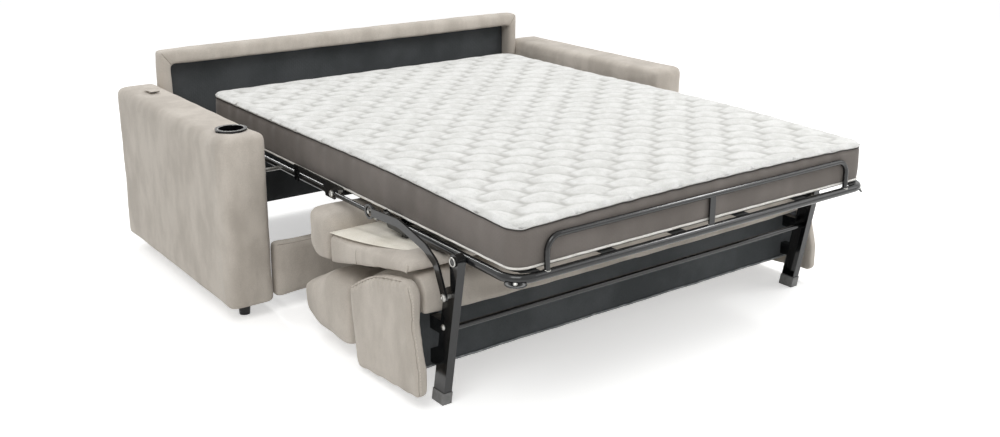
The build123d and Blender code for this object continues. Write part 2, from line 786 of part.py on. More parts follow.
# Back of the seat: dark board, cushion, wings and head roll
wing_inner = soft_half - wing_width
board_rear = board_depth - board_thickness
back_rear = (back_rear_depth, back_rear_z)
back_crest = (back_crest_depth, back_crest_z)
back_brow = (back_brow_depth, back_brow_z)
back_top = [
    ThreePointArc(back_rear, (back_swell_depth, back_swell_z), back_crest),
    ThreePointArc(back_crest, (back_temple_depth, back_temple_z), back_brow),
]
keep("back_board", slab(-wing_inner + soft_gap, wing_inner - soft_gap, board_rear, board_depth, board_low,
                        board_high))
back_low = Polyline(
    back_brow,
    (back_band_depth, board_high + soft_gap),
    (board_rear, board_high + soft_gap),
    (board_rear, board_low + back_heel_rise),
    (back_heel_depth, back_heel_z),
    (back_rear_depth, back_nape_z),
    back_rear,
)
back_face = make_face([*back_top, *back_low.edges()])
keep("back_cushion", plate(back_face, -wing_inner + soft_gap, wing_inner - soft_gap))
wing_low = FilletPolyline(
    back_brow,
    (wing_waist_depth, wing_waist_z),
    (wing_toe_depth, wing_toe_z),
    (wing_toe_depth, wing_toe_low),
    (wing_heel_depth, wing_heel_z),
    (back_rear_depth, back_nape_z),
    back_rear,
    radius=[wing_round, wing_round, wing_corner, wing_corner, wing_round],
)
wing_face = make_face([*back_top, *wing_low.edges()])
keep("back_wings", *pair(plate(wing_face, wing_inner, soft_half)))
roll_rear = back_rear_depth - soft_gap
head_roll_front = roll_rear - head_roll_length
head_roll_face = outline([
    (head_roll_front, head_roll_front_low),
    (head_roll_front, head_roll_front_high),
    (head_roll_front + head_roll_brow, head_roll_high),
    (roll_rear, head_roll_high),
    (roll_rear, head_roll_low),
    (head_roll_front + head_roll_belly, head_roll_low),
], head_roll_edge)
keep("head_roll", cushion(head_roll_face, soft_half))

# Mattress, cut where the frame folds
bend_start = head_hinge - head_clear
bend_end = head_hinge + head_clear
mattress_half = mattress_width / 2


def mattress(start, end, rounded=()):
    """A length of mattress, with rounded upright corners at the ends of the bed."""
    body = slab(-mattress_half, mattress_half, start, end, mattress_bottom, mattress_top)
    corners = []
    for end_face in rounded:
        corners += body.faces().sort_by(Axis.Y)[end_face].edges().filter_by(Axis.Z)
    return fillet(corners, mattress_corner) if corners else body


keep("mattress_head", mattress(head_gap, bend_start, [-1]))
keep("mattress_bend", mattress(bend_start, bend_end))
keep("mattress_middle", mattress(bend_end, fold_hinge))
keep("mattress_fold", mattress(fold_hinge, foot_hinge))
keep("mattress_foot", mattress(foot_hinge, mattress_end, [0]))

for name, solids in nodes.items():
    shape = solids[0] if len(solids) == 1 else Compound(children=solids)
    export_step(shape, f"parts/{name}.step")
print(f"{len(nodes)} pieces, open bed {2 * arm_outer:.0f} x {overall_depth:.0f} x {back_height} mm")
print(f"fold travel {fold_travel:.1f} mm, fold hinges at {fold_hinge:.1f} and {foot_hinge:.1f}")
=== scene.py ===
"""Looks of a sofa bed that stands open as a bed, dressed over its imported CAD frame.

Velvet upholstery, a quilted mattress and an enamelled folding frame. Lengths are in metres, in the frame of
the CAD part: X across the sofa, -Y towards the foot of the bed, Z up from the floor. Names that end in _mm
hold millimetres.
"""

from __future__ import annotations

import logging
import math
from dataclasses import dataclass, field
from enum import Enum
from typing import Any, Sequence

import bmesh
import bpy
import numpy as np
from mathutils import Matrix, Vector
from mathutils.bvhtree import BVHTree

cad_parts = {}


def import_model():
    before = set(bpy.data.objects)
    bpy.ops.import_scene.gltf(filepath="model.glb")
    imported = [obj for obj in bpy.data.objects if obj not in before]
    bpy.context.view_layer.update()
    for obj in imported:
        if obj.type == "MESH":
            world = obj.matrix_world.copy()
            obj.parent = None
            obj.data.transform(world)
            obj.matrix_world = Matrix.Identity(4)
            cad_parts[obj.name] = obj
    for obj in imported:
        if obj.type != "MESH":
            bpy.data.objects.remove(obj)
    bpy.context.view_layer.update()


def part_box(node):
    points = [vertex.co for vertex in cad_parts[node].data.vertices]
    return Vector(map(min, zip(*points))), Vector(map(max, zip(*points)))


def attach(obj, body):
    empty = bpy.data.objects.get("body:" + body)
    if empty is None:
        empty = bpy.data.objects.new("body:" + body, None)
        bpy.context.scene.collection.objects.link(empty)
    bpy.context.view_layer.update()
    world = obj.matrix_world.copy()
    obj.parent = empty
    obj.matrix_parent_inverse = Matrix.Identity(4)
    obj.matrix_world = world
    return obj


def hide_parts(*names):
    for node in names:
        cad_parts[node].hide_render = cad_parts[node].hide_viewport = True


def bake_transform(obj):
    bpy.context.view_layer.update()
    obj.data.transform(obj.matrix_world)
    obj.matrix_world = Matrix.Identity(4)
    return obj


LOG = logging.getLogger("sofa_bed")
MM = 0.001
TINY = 1e-9  # keeps a length out of a division by zero
WELD = 1e-5  # points of a solid that lie closer than this are one
ROUGH_TURN = 6.28  # a full turn in radians, where two decimals are enough

Piece = bpy.types.Object
Tree = bpy.types.NodeTree
Socket = bpy.types.NodeSocket
Pair = tuple[float, float]
Triple = tuple[float, float, float]


class Body(str, Enum):
    """Bodies of the folding mechanism that pieces ride on."""

    SOFA = "sofa_base"
    HEAD = "head_section"
    MIDDLE = "middle_section"
    FOLD = "fold_links"
    FOOT = "foot_section"
    SEAT_BACK = "seat_back"


class Slot(str, Enum):
    """Material slots of the record that the scene's own pieces come from."""

    VELVET = "velvet"
    LINING = "dark_lining"
    CREAM = "cream_lining"
    ENAMEL = "black_enamel"
    ZINC = "zinc_steel"
    WEBBING = "elastic_webbing"
    MATTRESS = "mattress_cloth"


class Band(int, Enum):
    """Cloths of the mattress, numbered as its material slots are."""

    KNIT = 0
    JERSEY = 1
    # A dark band that paints the shade of the groove under the top's edge.
    SHADE_BAND = 2
    PALE_PIPING = 3


# Colour and shader helpers


def linear(hex_colour: str) -> tuple[float, float, float, float]:
    """Turn an sRGB hex colour into the linear values that shaders use.

    Args:
        hex_colour: A colour such as "#BDB4AA".

    Returns:
        Linear red, green, blue and an alpha of 1.
    """
    parts = [int(hex_colour[i:i + 2], 16) / 255 for i in (1, 3, 5)]
    red, green, blue = (p / 12.92 if p <= 0.04045 else ((p + 0.055) / 1.055) ** 2.4 for p in parts)
    return red, green, blue, 1.0


def fill(tree: Tree, node: bpy.types.Node, inputs: dict[Any, Any]) -> None:
    """Set a node's inputs, each by a value or by a link.

    Args:
        tree: The node tree.
        node: The node.
        inputs: Values or output sockets, by the name or number of the input.
    """
    for key, value in inputs.items():
        if isinstance(value, Socket):
            tree.links.new(value, node.inputs[key])
        else:
            node.inputs[key].default_value = value


def add(tree: Tree, kind: str, inputs: dict[Any, Any] | None = None, **settings: Any) -> bpy.types.Node:
    """Add one node with its settings and links.

    Args:
        tree: The node tree that takes the node.
        kind: The node's type name.
        inputs: Values or output sockets, by the name or number of the input that takes them.
        settings: Properties of the node itself.

    Returns:
        The new node.
    """
    node = tree.nodes.new(kind)
    for name, value in settings.items():
        setattr(node, name, value)
    fill(tree, node, inputs or {})
    return node


def mixed(tree: Tree, share: Any, base: Any, other: Any, blend: str = "MIX") -> Socket:
    """Mix two colours by a share of the second."""
    inputs = {0: share, 6: base, 7: other}
    return add(tree, "ShaderNodeMix", inputs, data_type="RGBA", blend_type=blend).outputs[2]


def mapped(tree: Tree, value: Socket, source: Pair, target: Pair = (0, 1), kind: str = "LINEAR") -> Socket:
    """Map a value from one range to another.

    Args:
        tree: The node tree.
        value: The value.
        source: Its range.
        target: The range that it is mapped to.
        kind: How it runs between the ends.

    Returns:
        The mapped value.
    """
    inputs = {"Value": value, "From Min": source[0], "From Max": source[1],
              "To Min": target[0], "To Max": target[1]}
    return add(tree, "ShaderNodeMapRange", inputs, interpolation_type=kind).outputs[0]


def per_metre(size_mm: float) -> float:
    """Texture scale, in repeats per metre, of a pattern of a size in millimetres."""
    return 1.0 / (size_mm * MM)


@dataclass(frozen=True)
class Finish:
    """A real material: its colours, its gloss and the sizes of what shows on its surface.

    Attributes:
        name: The material's plain name.
        base: Main colour, as sRGB hex.
        accent: Colour that the surface varies towards.
        roughness: Mean roughness.
        patch_mm: Size of the soft changes of colour.
        grain_mm: Size of the finest relief that is drawn.
        relief_mm: Height of that relief.
        swing: How far the roughness varies to either side.
        metallic: 1 for bare metal.
        sheen: Strength of the bloom at grazing angles.
        specular: Strength of the reflection.
        cloud_mm: Size of a second, wider change of colour, or 0 for none.
        stretch: How the soft changes are drawn out along X, Y and Z.
        line: Colour of the painted shade in the quilting's sewn grooves, which the mesh carries as a shade at
            each point.
        thread_mm: Spacing of the drawn threads, or 0 for none.
    """

    name: str
    base: str
    accent: str
    roughness: float
    patch_mm: float
    grain_mm: float
    relief_mm: float
    swing: float = 0.08
    metallic: float = 0.0
    sheen: float = 0.0
    specular: float = 0.5
    cloud_mm: float = 0.0
    stretch: Triple = (1.0, 1.0, 1.0)
    line: str = ""
    thread_mm: float = 0.0

    def build(self) -> bpy.types.Material:
        """Make the material's node tree.

        Returns:
            The finished material.
        """
        material = bpy.data.materials.new(self.name)
        material.use_nodes = True
        tree = material.node_tree
        place = add(tree, "ShaderNodeTexCoord").outputs["Object"]
        drawn = add(tree, "ShaderNodeMapping", {"Vector": place, "Scale": self.stretch}).outputs[0]
        patch = add(tree, "ShaderNodeTexNoise", {
            "Vector": drawn, "Scale": per_metre(self.patch_mm), "Detail": 3.0, "Roughness": 0.55}).outputs[0]
        grain = add(tree, "ShaderNodeTexNoise", {
            "Vector": place, "Scale": per_metre(self.grain_mm), "Detail": 2.0}).outputs[0]
        share = mapped(tree, patch, (0.34, 0.66), kind="SMOOTHSTEP")
        if self.cloud_mm:
            cloud = add(tree, "ShaderNodeTexNoise", {"Vector": place, "Scale": per_metre(self.cloud_mm)})
            share = add(tree, "ShaderNodeMix", {0: 0.45, 2: share, 3: cloud.outputs[0]}).outputs[0]
        colour = mixed(tree, share, linear(self.base), linear(self.accent))
        speck = mapped(tree, grain, (0.3, 0.7), (0.9, 1.06))
        colour = mixed(tree, 1.0, colour, speck, "MULTIPLY")
        # Painted shade: the colour darkens towards the line colour where the mesh carries shade in the
        # quilting's grooves.
        if self.line:
            shade = add(tree, "ShaderNodeAttribute", attribute_name="painted_groove_shade").outputs["Fac"]
            colour = mixed(tree, shade, colour, linear(self.line))
        height = self.weave(tree, place, grain) if self.thread_mm else grain
        bump = add(tree, "ShaderNodeBump", {
            "Height": height, "Distance": self.relief_mm * MM, "Strength": 0.8})
        gloss = mapped(tree, patch, (0.3, 0.7), (self.roughness - self.swing, self.roughness + self.swing))
        fill(tree, tree.nodes["Principled BSDF"], {
            "Base Color": colour, "Roughness": gloss, "Normal": bump.outputs[0], "Metallic": self.metallic,
            "Sheen Weight": self.sheen, "Sheen Roughness": 0.45, "Specular IOR Level": self.specular})
        return material

    def weave(self, tree: Tree, place: Socket, grain: Socket) -> Socket:
        """Cross two rows of threads and lay the grain over them.

        Args:
            tree: The material's node tree.
            place: Object coordinates.
            grain: Height of the fine grain.

        Returns:
            The height of the woven surface.
        """
        wave = {"Vector": place, "Scale": per_metre(self.thread_mm) / ROUGH_TURN,
                "Distortion": 0.6, "Detail": 1.0}
        rows = [add(tree, "ShaderNodeTexWave", wave, bands_direction=way).outputs["Fac"]
                for way in ("X", "DIAGONAL")]
        crossed = add(tree, "ShaderNodeMath", {0: rows[0], 1: rows[1]}, operation="MULTIPLY").outputs[0]
        return add(tree, "ShaderNodeMath", {0: crossed, 1: grain}, operation="ADD").outputs[0]


class Finishes:
    """Every finish of the sofa bed, built once."""

    def __init__(self) -> None:
        """Build the materials."""
        # Cut-pile polyester velvet: a soft bloom at grazing angles, brushed into short upright streaks. The
        # pile is 0.3 mm and is drawn at 2.4 mm so that it shows.
        self.velvet = Finish("polyester_velvet", "#D3CBC1", "#B6AEA4", 0.9, 90, 2.4, 0.35, sheen=0.2,
                             specular=0.3, cloud_mm=300, stretch=(1.0, 1.0, 0.5)).build()
        # The same pile pressed in at a seam, with no bloom, and darker with painted shade of the seam's
        # crease.
        self.seam = Finish("velvet_seam_shade", "#A79F95", "#938B81", 0.95, 40, 2.4, 0.3, specular=0.2).build()
        # Twisted polyester sewing thread, pale and slightly glossy.
        self.thread = Finish("polyester_thread", "#E2DCD3", "#CFC7BC", 0.6, 20, 1.2, 0.2).build()
        # Spun-bonded polypropylene lining: flat charcoal felt with a dry speckle, and its cut edge, where the
        # fibres stand out pale.
        self.lining = Finish("spunbond_lining", "#545759", "#484B4D", 0.92, 220, 2.6, 0.25, specular=0.25,
                             thread_mm=4.5).build()
        self.cut_edge = Finish("spunbond_cut_edge", "#A3A6A7", "#7E8284", 0.95, 18, 1.8, 0.3).build()
        # Unbleached cotton twill on the underside of the seat.
        self.cream = Finish("cotton_twill", "#F7F2E6", "#ECE6D8", 0.9, 120, 2.2, 0.3, thread_mm=3.2).build()
        # Polyester knit with wadding behind it: white and matt, with painted shade in its sewn grooves.
        self.knit = Finish("quilted_polyester_knit", "#E9E9E7", "#DCDCD9", 0.93, 34, 2.6, 0.5, sheen=0.1,
                           line="#B8B7B3", thread_mm=3.6).build()
        # Taupe jersey stretched round the mattress sides.
        self.jersey = Finish("taupe_jersey", "#79726D", "#6A645F", 0.8, 160, 1.8, 0.12, sheen=0.15,
                             cloud_mm=240, thread_mm=3.0).build()
        # A dark band at the mattress's upper seam, which is painted shade of the groove under the top's edge,
        # and pale piping at the lower one. The dark band also paints the shadow in the pull tab's open end.
        self.shade_cloth = Finish("painted_shade_tape", "#423D3A", "#373331", 0.85, 30, 1.6, 0.2,
                                thread_mm=2.5).build()
        self.pale_tape = Finish("pale_piping", "#F6F4F0", "#E6E3DD", 0.5, 30, 1.6, 0.2, thread_mm=2.5).build()
        # Black powder coat on steel tube: deep black and glossy, with a faint orange peel.
        self.enamel = Finish("black_powder_coat", "#0E0F10", "#161718", 0.15, 35, 1.6, 0.03, swing=0.04,
                             specular=0.6).build()
        # Bright zinc plating: grey metal with a cloudy gloss.
        self.zinc = Finish("zinc_plate", "#C4C3BF", "#A4A39F", 0.3, 14, 1.4, 0.03, swing=0.12,
                           metallic=1.0).build()
        # Moulded ABS: black with a polished rim, and mid-grey with a fine spark-eroded grain.
        self.black_abs = Finish("moulded_black_abs", "#0B0B0C", "#131416", 0.16, 18, 1.2, 0.03,
                                specular=0.4).build()
        self.grey_abs = Finish("moulded_grey_abs", "#7C7C7B", "#6B6B6A", 0.42, 16, 1.3, 0.06).build()
        # Elastic webbing of rubber and polypropylene: dark ribs along the strap.
        self.webbing = Finish("elastic_webbing", "#2B2B2B", "#202020", 0.8, 40, 1.8, 0.3,
                              thread_mm=4.0).build()


@dataclass
class Group:
    """A group of pieces that are made together.

    Attributes:
        finishes: The materials.
    """

    finishes: Finishes

    def build(self) -> None:
        """Make the pieces and hang them on their bodies."""
        raise NotImplementedError


# Mesh helpers


def link(name: str, mesh: bpy.types.Mesh) -> Piece:
    """Put a mesh into the scene as a new object.

    Args:
        name: The object's name.
        mesh: Its mesh.

    Returns:
        The object.
    """
    piece = bpy.data.objects.new(name, mesh)
    bpy.context.scene.collection.objects.link(piece)
    return piece


def from_lists(name: str, points: np.ndarray, faces: Sequence[Sequence[int]]) -> Piece:
    """Make an object from points and faces.

    Args:
        name: The piece's name.
        points: Points as rows of x, y, z.
        faces: Point numbers of each face.

    Returns:
        The smooth-shaded object.
    """
    mesh = bpy.data.meshes.new(name)
    mesh.from_pydata(np.asarray(points, float).tolist(), [], [list(f) for f in faces])
    mesh.validate()
    mesh.shade_smooth()
    return link(name, mesh)


def coords(piece: Piece) -> np.ndarray:
    """Read the points of a mesh as rows of x, y, z.

    Args:
        piece: The object that has the mesh.

    Returns:
        The points.
    """
    values = np.empty(len(piece.data.vertices) * 3)
    piece.data.vertices.foreach_get("co", values)
    return values.reshape(-1, 3)


def set_coords(piece: Piece, points: np.ndarray) -> None:
    """Move a mesh's points to new places."""
    piece.data.vertices.foreach_set("co", np.ascontiguousarray(points, np.float32).ravel())
    piece.data.update()


def normals(piece: Piece) -> np.ndarray:
    """Read the point normals of a mesh as rows of x, y, z.

    Args:
        piece: The object that has the mesh.

    Returns:
        The normals.
    """
    values = np.empty(len(piece.data.vertices) * 3, np.float32)
    piece.data.vertex_normals.foreach_get("vector", values)
    return values.reshape(-1, 3).astype(float)


def apply_all(piece: Piece) -> None:
    """Replace an object's mesh by what its modifiers make of it.

    Args:
        piece: The object.
    """
    graph = bpy.context.evaluated_depsgraph_get()
    made = bpy.data.meshes.new_from_object(piece.evaluated_get(graph))
    old = piece.data
    piece.modifiers.clear()
    piece.data = made
    bpy.data.meshes.remove(old)


def unit(rows: np.ndarray) -> np.ndarray:
    """Scale each row to a length of 1."""
    return rows / np.maximum(np.linalg.norm(rows, axis=1), TINY)[:, None]


def circle(count: int) -> np.ndarray:
    """Even angles round a circle, in radians."""
    return np.linspace(0, 2 * math.pi, count, endpoint=False)


def wobble(points: np.ndarray, size_mm: float, seed: int) -> np.ndarray:
    """A smooth random height at each point, from a few crossed waves.

    Args:
        points: Points as rows of x, y, z.
        size_mm: Typical distance between crests.
        seed: Seed of the waves.

    Returns:
        Heights between about -1 and 1.
    """
    rng = np.random.default_rng(seed)
    total = np.zeros(len(points))
    count, gain, spread = 7, 1.6, (0.7, 1.6)
    for _ in range(count):
        way = rng.normal(size=3)
        way /= np.linalg.norm(way)
        length = size_mm * MM * rng.uniform(*spread)
        total += np.sin(points @ way * 2 * math.pi / length + rng.uniform(0, ROUGH_TURN))
    return total / count * gain


def along(points: np.ndarray, path: np.ndarray) -> tuple[np.ndarray, np.ndarray]:
    """Distance of each point from a line, and how far along the line it lies.

    Args:
        points: Points as rows of x, y, z.
        path: Places along the line, as rows of x, y, z.

    Returns:
        The shortest distances, and the lengths along the line at which they are found.
    """
    best = np.full(len(points), np.inf)
    where = np.zeros(len(points))
    walked = 0.0
    for a, b in zip(path[:-1], path[1:]):
        run = b - a
        length = float(np.linalg.norm(run))
        t = np.clip((points - a) @ run / max(length * length, TINY ** 2), 0, 1)
        gap = np.linalg.norm(points - a - t[:, None] * run, axis=1)
        nearer = gap < best
        best[nearer] = gap[nearer]
        where[nearer] = walked + t[nearer] * length
        walked += length
    return best, where


def dense(path: Sequence[Sequence[float]], step_mm: float) -> np.ndarray:
    """Walk along a line and mark it at an even step.

    Args:
        path: Corners of the line.
        step_mm: Distance between marks.

    Returns:
        The marks, as rows of x, y, z.
    """
    corners = np.asarray(path, float)
    lengths = np.linalg.norm(np.diff(corners, axis=0), axis=1)
    reach = np.concatenate([[0.0], np.cumsum(lengths)])
    marks = np.linspace(0, reach[-1], max(2, int(reach[-1] / (step_mm * MM)) + 1))
    return np.stack([np.interp(marks, reach, corners[:, k]) for k in range(3)], axis=1)


def laid_on(piece: Piece, path: np.ndarray) -> tuple[np.ndarray, np.ndarray]:
    """Lay a line on a piece's surface.

    Args:
        piece: The piece that carries the line.
        path: Places along the line.

    Returns:
        The places on the surface, and the surface's normals there.
    """
    tree = BVHTree.FromObject(piece, bpy.context.evaluated_depsgraph_get())
    found = [tree.find_nearest(Vector(p)) for p in path]
    return np.array([f[0] for f in found]), np.array([f[1] for f in found])


def loft_faces(rings: int, sides: int, closed: bool = False, first: int = 0) -> list[list[int]]:
    """Faces that join rings of points, one after the other.

    Args:
        rings: Number of rings.
        sides: Points of a ring.
        closed: Whether the last ring joins the first one. If not, both ends are capped.
        first: Number of the first point.

    Returns:
        Point numbers of each face.
    """
    here = first + np.arange(rings * sides).reshape(rings, sides)
    ahead = np.roll(here, -1, axis=0)
    quads = np.stack([here, np.roll(here, -1, axis=1), np.roll(ahead, -1, axis=1), ahead], axis=-1)
    if closed:
        return quads.reshape(-1, 4).tolist()
    return [*quads[:-1].reshape(-1, 4).tolist(), here[0, ::-1].tolist(), here[-1].tolist()]


def loft(name: str, rings: np.ndarray, closed: bool = False) -> Piece:
    """Make an object of rings of points, given as an array of rings by points by 3."""
    return from_lists(name, rings.reshape(-1, 3), loft_faces(*rings.shape[:2], closed))


def tube(name: str, path: np.ndarray, radius_mm: float, closed: bool = False) -> Piece:
    """A round cord along a line.

    Args:
        name: The piece's name.
        path: Places along its middle.
        radius_mm: Its radius.
        closed: Whether its ends meet.

    Returns:
        The cord's object.
    """
    sides = 8
    askew = np.array([0.31, 0.22, 0.93])
    ends_meet = np.roll(path, -1, axis=0) - np.roll(path, 1, axis=0)
    tangent = unit(ends_meet if closed else np.gradient(path, axis=0))
    first = unit(np.cross(tangent, askew))
    second = np.cross(tangent, first)
    radius = radius_mm * MM
    strands = [path + radius * (math.cos(t) * first + math.sin(t) * second) for t in circle(sides)]
    return loft(name, np.stack(strands, axis=1), closed)


def dashes(name: str, places: np.ndarray, facing: np.ndarray, length_mm: float, radius_mm: float) -> Piece:
    """Sewn stitches: short humped threads along a line on a surface.

    Args:
        name: The piece's name.
        places: Middles of the stitches, in order.
        facing: The surface's normal at each.
        length_mm: Length of a stitch.
        radius_mm: Radius of the thread.

    Returns:
        One object with all the stitches.
    """
    sides = 6
    # Shift along the stitch, lift and share of the radius at each ring.
    hump = [(-1.0, -0.4, 0.35), (-0.5, 0.35, 1.0), (0.5, 0.35, 1.0), (1.0, -0.4, 0.35)]
    tangent = unit(np.gradient(places, axis=0))
    across = np.cross(facing, tangent)
    half, radius = length_mm * MM / 2, radius_mm * MM
    points, faces = [], []
    for p, n, t, c in zip(places, facing, tangent, across):
        faces += loft_faces(len(hump), sides, first=len(points))
        for shift, lift, swell in hump:
            for turn in circle(sides):
                points.append(p + t * half * shift + n * radius * lift
                              + radius * swell * (math.cos(turn) * c + math.sin(turn) * n))
    return from_lists(name, np.array(points), faces)


def sheet(name: str, grid: np.ndarray) -> Piece:
    """A single layer of cloth.

    Args:
        name: The piece's name.
        grid: Points, as an array of rows by columns by 3.

    Returns:
        The sheet's object.
    """
    high, wide = grid.shape[:2]
    number = np.arange(high * wide).reshape(high, wide)
    quads = np.stack([number[:-1, :-1], number[:-1, 1:], number[1:, 1:], number[1:, :-1]], -1)
    return from_lists(name, grid.reshape(-1, 3), quads.reshape(-1, 4).tolist())


def ribbon(name: str, path: np.ndarray, facing: np.ndarray, across: np.ndarray, thickness_mm: float) -> Piece:
    """A flat band with soft edges along a line.

    Args:
        name: The piece's name.
        path: Places along its middle.
        facing: Its upper side's direction at each place.
        across: Vector from its middle to its edge.
        thickness_mm: Its thickness in the middle.

    Returns:
        The band's object.
    """
    half = thickness_mm * MM / 2
    # Shares of the half width and of the half thickness, round the section.
    section = [(-1.0, 0.0), (-0.93, 0.8), (-0.5, 1.0), (0.0, 0.9), (0.5, 1.0), (0.93, 0.8), (1.0, 0.0),
               (0.93, -0.8), (0.0, -0.9), (-0.93, -0.8)]
    strands = [path + across * side + facing * half * lift for side, lift in section]
    return loft(name, np.stack(strands, axis=1))


def lengthwise(name: str, path: np.ndarray, half_width: float, thickness_mm: float) -> Piece:
    """A flat band that runs along Y and stays level across.

    Args:
        name: The piece's name.
        path: Places along its middle.
        half_width: Half its width.
        thickness_mm: Its thickness in the middle.

    Returns:
        The band's object.
    """
    run = unit(np.gradient(path, axis=0))
    facing = np.stack([0 * run[:, 0], run[:, 2], -run[:, 1]], 1)
    return ribbon(name, path, facing, np.array([half_width, 0, 0]), thickness_mm)


def islands(node: str) -> list[tuple[np.ndarray, np.ndarray]]:
    """Find the separate solids of a CAD node.

    Args:
        node: The node.

    Returns:
        The lowest and highest corner of each solid, in order along X.
    """
    mesh = bmesh.new()
    mesh.from_mesh(bpy.data.objects[node].data)
    bmesh.ops.remove_doubles(mesh, verts=mesh.verts, dist=WELD)
    left, boxes = set(mesh.verts), []
    while left:
        reached, edge = set(), [left.pop()]
        while edge:
            point = edge.pop()
            reached.add(point)
            fresh = {e.other_vert(point) for e in point.link_edges} & left
            left -= fresh
            edge.extend(fresh)
        places = np.array([point.co for point in reached])
        boxes.append((places.min(axis=0), places.max(axis=0)))
    mesh.free()
    return sorted(boxes, key=lambda box: tuple(box[0]))


def joined(name: str, pieces: Sequence[Piece]) -> Piece:
    """Make one object of several.

    Args:
        name: Its name.
        pieces: The objects, which are used up.

    Returns:
        The one object.
    """
    mesh = bmesh.new()
    for piece in pieces:
        mesh.from_mesh(piece.data)
        bpy.data.objects.remove(piece)
    whole = link(name, bpy.data.meshes.new(name))
    mesh.to_mesh(whole.data)
    mesh.free()
    whole.data.shade_smooth()
    return whole


def turned(name: str, profile: Sequence[Sequence[float]], place: Sequence[float], axis: Vector) -> Piece:
    """A round or six-sided fitting, turned from a profile.

    Args:
        name: The piece's name.
        profile: Rings as (radius, height) in millimetres, with a share of a hexagon where a ring has flats.
        place: Middle of its foot.
        axis: Direction from its foot to its head.

    Returns:
        The closed fitting.
    """
    turns = circle(24)
    hexagon = 1 / np.cos((turns + math.pi / 6) % (math.pi / 3) - math.pi / 6)
    up = axis.normalized()
    first = up.orthogonal().normalized()
    second = up.cross(first)
    rings = []
    for radius, height, *flats in profile:
        share = sum(flats)
        reach = radius * MM * (1 - share + share * hexagon)
        rings.append(np.outer(reach * np.cos(turns), first) + np.outer(reach * np.sin(turns), second)
                     + np.array(place) + height * MM * np.array(up))
    return loft(name, np.stack(rings))


def hang(piece: Piece, material: bpy.types.Material, slot: Slot, body: Body, *nodes: str) -> Piece:
    """Dress a piece and put it on its body.

    Args:
        piece: The piece.
        material: Its material.
        slot: The slot that the material comes from; not used.
        body: The body that it rides on.
        nodes: CAD nodes that it stands for, if any.

    Returns:
        The piece.
    """
    piece.data.materials.clear()
    piece.data.materials.append(material)
    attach(piece, body.value)
    if nodes:
        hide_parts(*nodes)
    LOG.info("%s: %d points", piece.name, len(piece.data.vertices))
    return piece


# Upholstery


@dataclass
class Seam:
    """A sewn line on an upholstered piece.

    Attributes:
        path: Corners of the line, near the surface.
        depth_mm: How deep the seam pulls in.
        width_mm: How wide the dip is.
        gather_mm: Height of the puckers beside it.
        gather_pitch_mm: Distance between the puckers.
        topstitched: Whether a row of stitches shows beside it.
    """

    path: list[Triple]
    depth_mm: float = 3.0
    width_mm: float = 7.0
    gather_mm: float = 0.0
    gather_pitch_mm: float = 26.0
    topstitched: bool = False

    def relief(self, points: np.ndarray, number: int) -> np.ndarray:
        """How far the seam moves the points of its piece outwards.

        Args:
            points: Points as rows of x, y, z.
            number: The seam's number on its piece.

        Returns:
            One height for each point.
        """
        step_mm, drift_mm, drift, spread = 40, 160, 2.4, 2.2
        gap, where = along(points, dense(self.path, step_mm))
        move = -self.depth_mm * MM * np.exp(-(gap / (self.width_mm * MM)) ** 2)
        if self.gather_mm:
            phase = wobble(points, drift_mm, number + 3) * drift
            pleat = np.sin(2 * math.pi * where / (self.gather_pitch_mm * MM) + phase)
            move += self.gather_mm * MM * pleat * np.exp(-gap / (self.gather_pitch_mm * spread * MM))
        return move


@dataclass(frozen=True)
class Pattern:
    """A CAD solid, or a stretch of it, that a padded piece takes its shape from.

    Attributes:
        node: The CAD node.
        shift_mm: How far the solid is moved, to close the gap to its neighbour.
        behind: Only what lies behind this place along Y is used.
        ahead: Only what lies ahead of this place along Y is used.
    """

    node: str
    shift_mm: Triple = (0.0, 0.0, 0.0)
    behind: float | None = None
    ahead: float | None = None

    def lay(self, target: bmesh.types.BMesh) -> None:
        """Add the solid's mesh to another.

        Args:
            target: The mesh that takes it.
        """
        mesh = bmesh.new()
        mesh.from_mesh(bpy.data.objects[self.node].data)
        bmesh.ops.remove_doubles(mesh, verts=mesh.verts, dist=WELD)
        for place, way in ((self.behind, -1), (self.ahead, 1)):
            if place is not None:
                bmesh.ops.bisect_plane(mesh, geom=[*mesh.verts, *mesh.edges, *mesh.faces], clear_outer=True,
                                       plane_co=(0, place, 0), plane_no=(0, way, 0))
                bmesh.ops.holes_fill(mesh, edges=[e for e in mesh.edges if e.is_boundary], sides=0)
        bmesh.ops.translate(mesh, verts=mesh.verts, vec=Vector(self.shift_mm) * MM)
        data = bpy.data.meshes.new("pattern")
        mesh.to_mesh(data)
        mesh.free()
        target.from_mesh(data)
        bpy.data.meshes.remove(data)


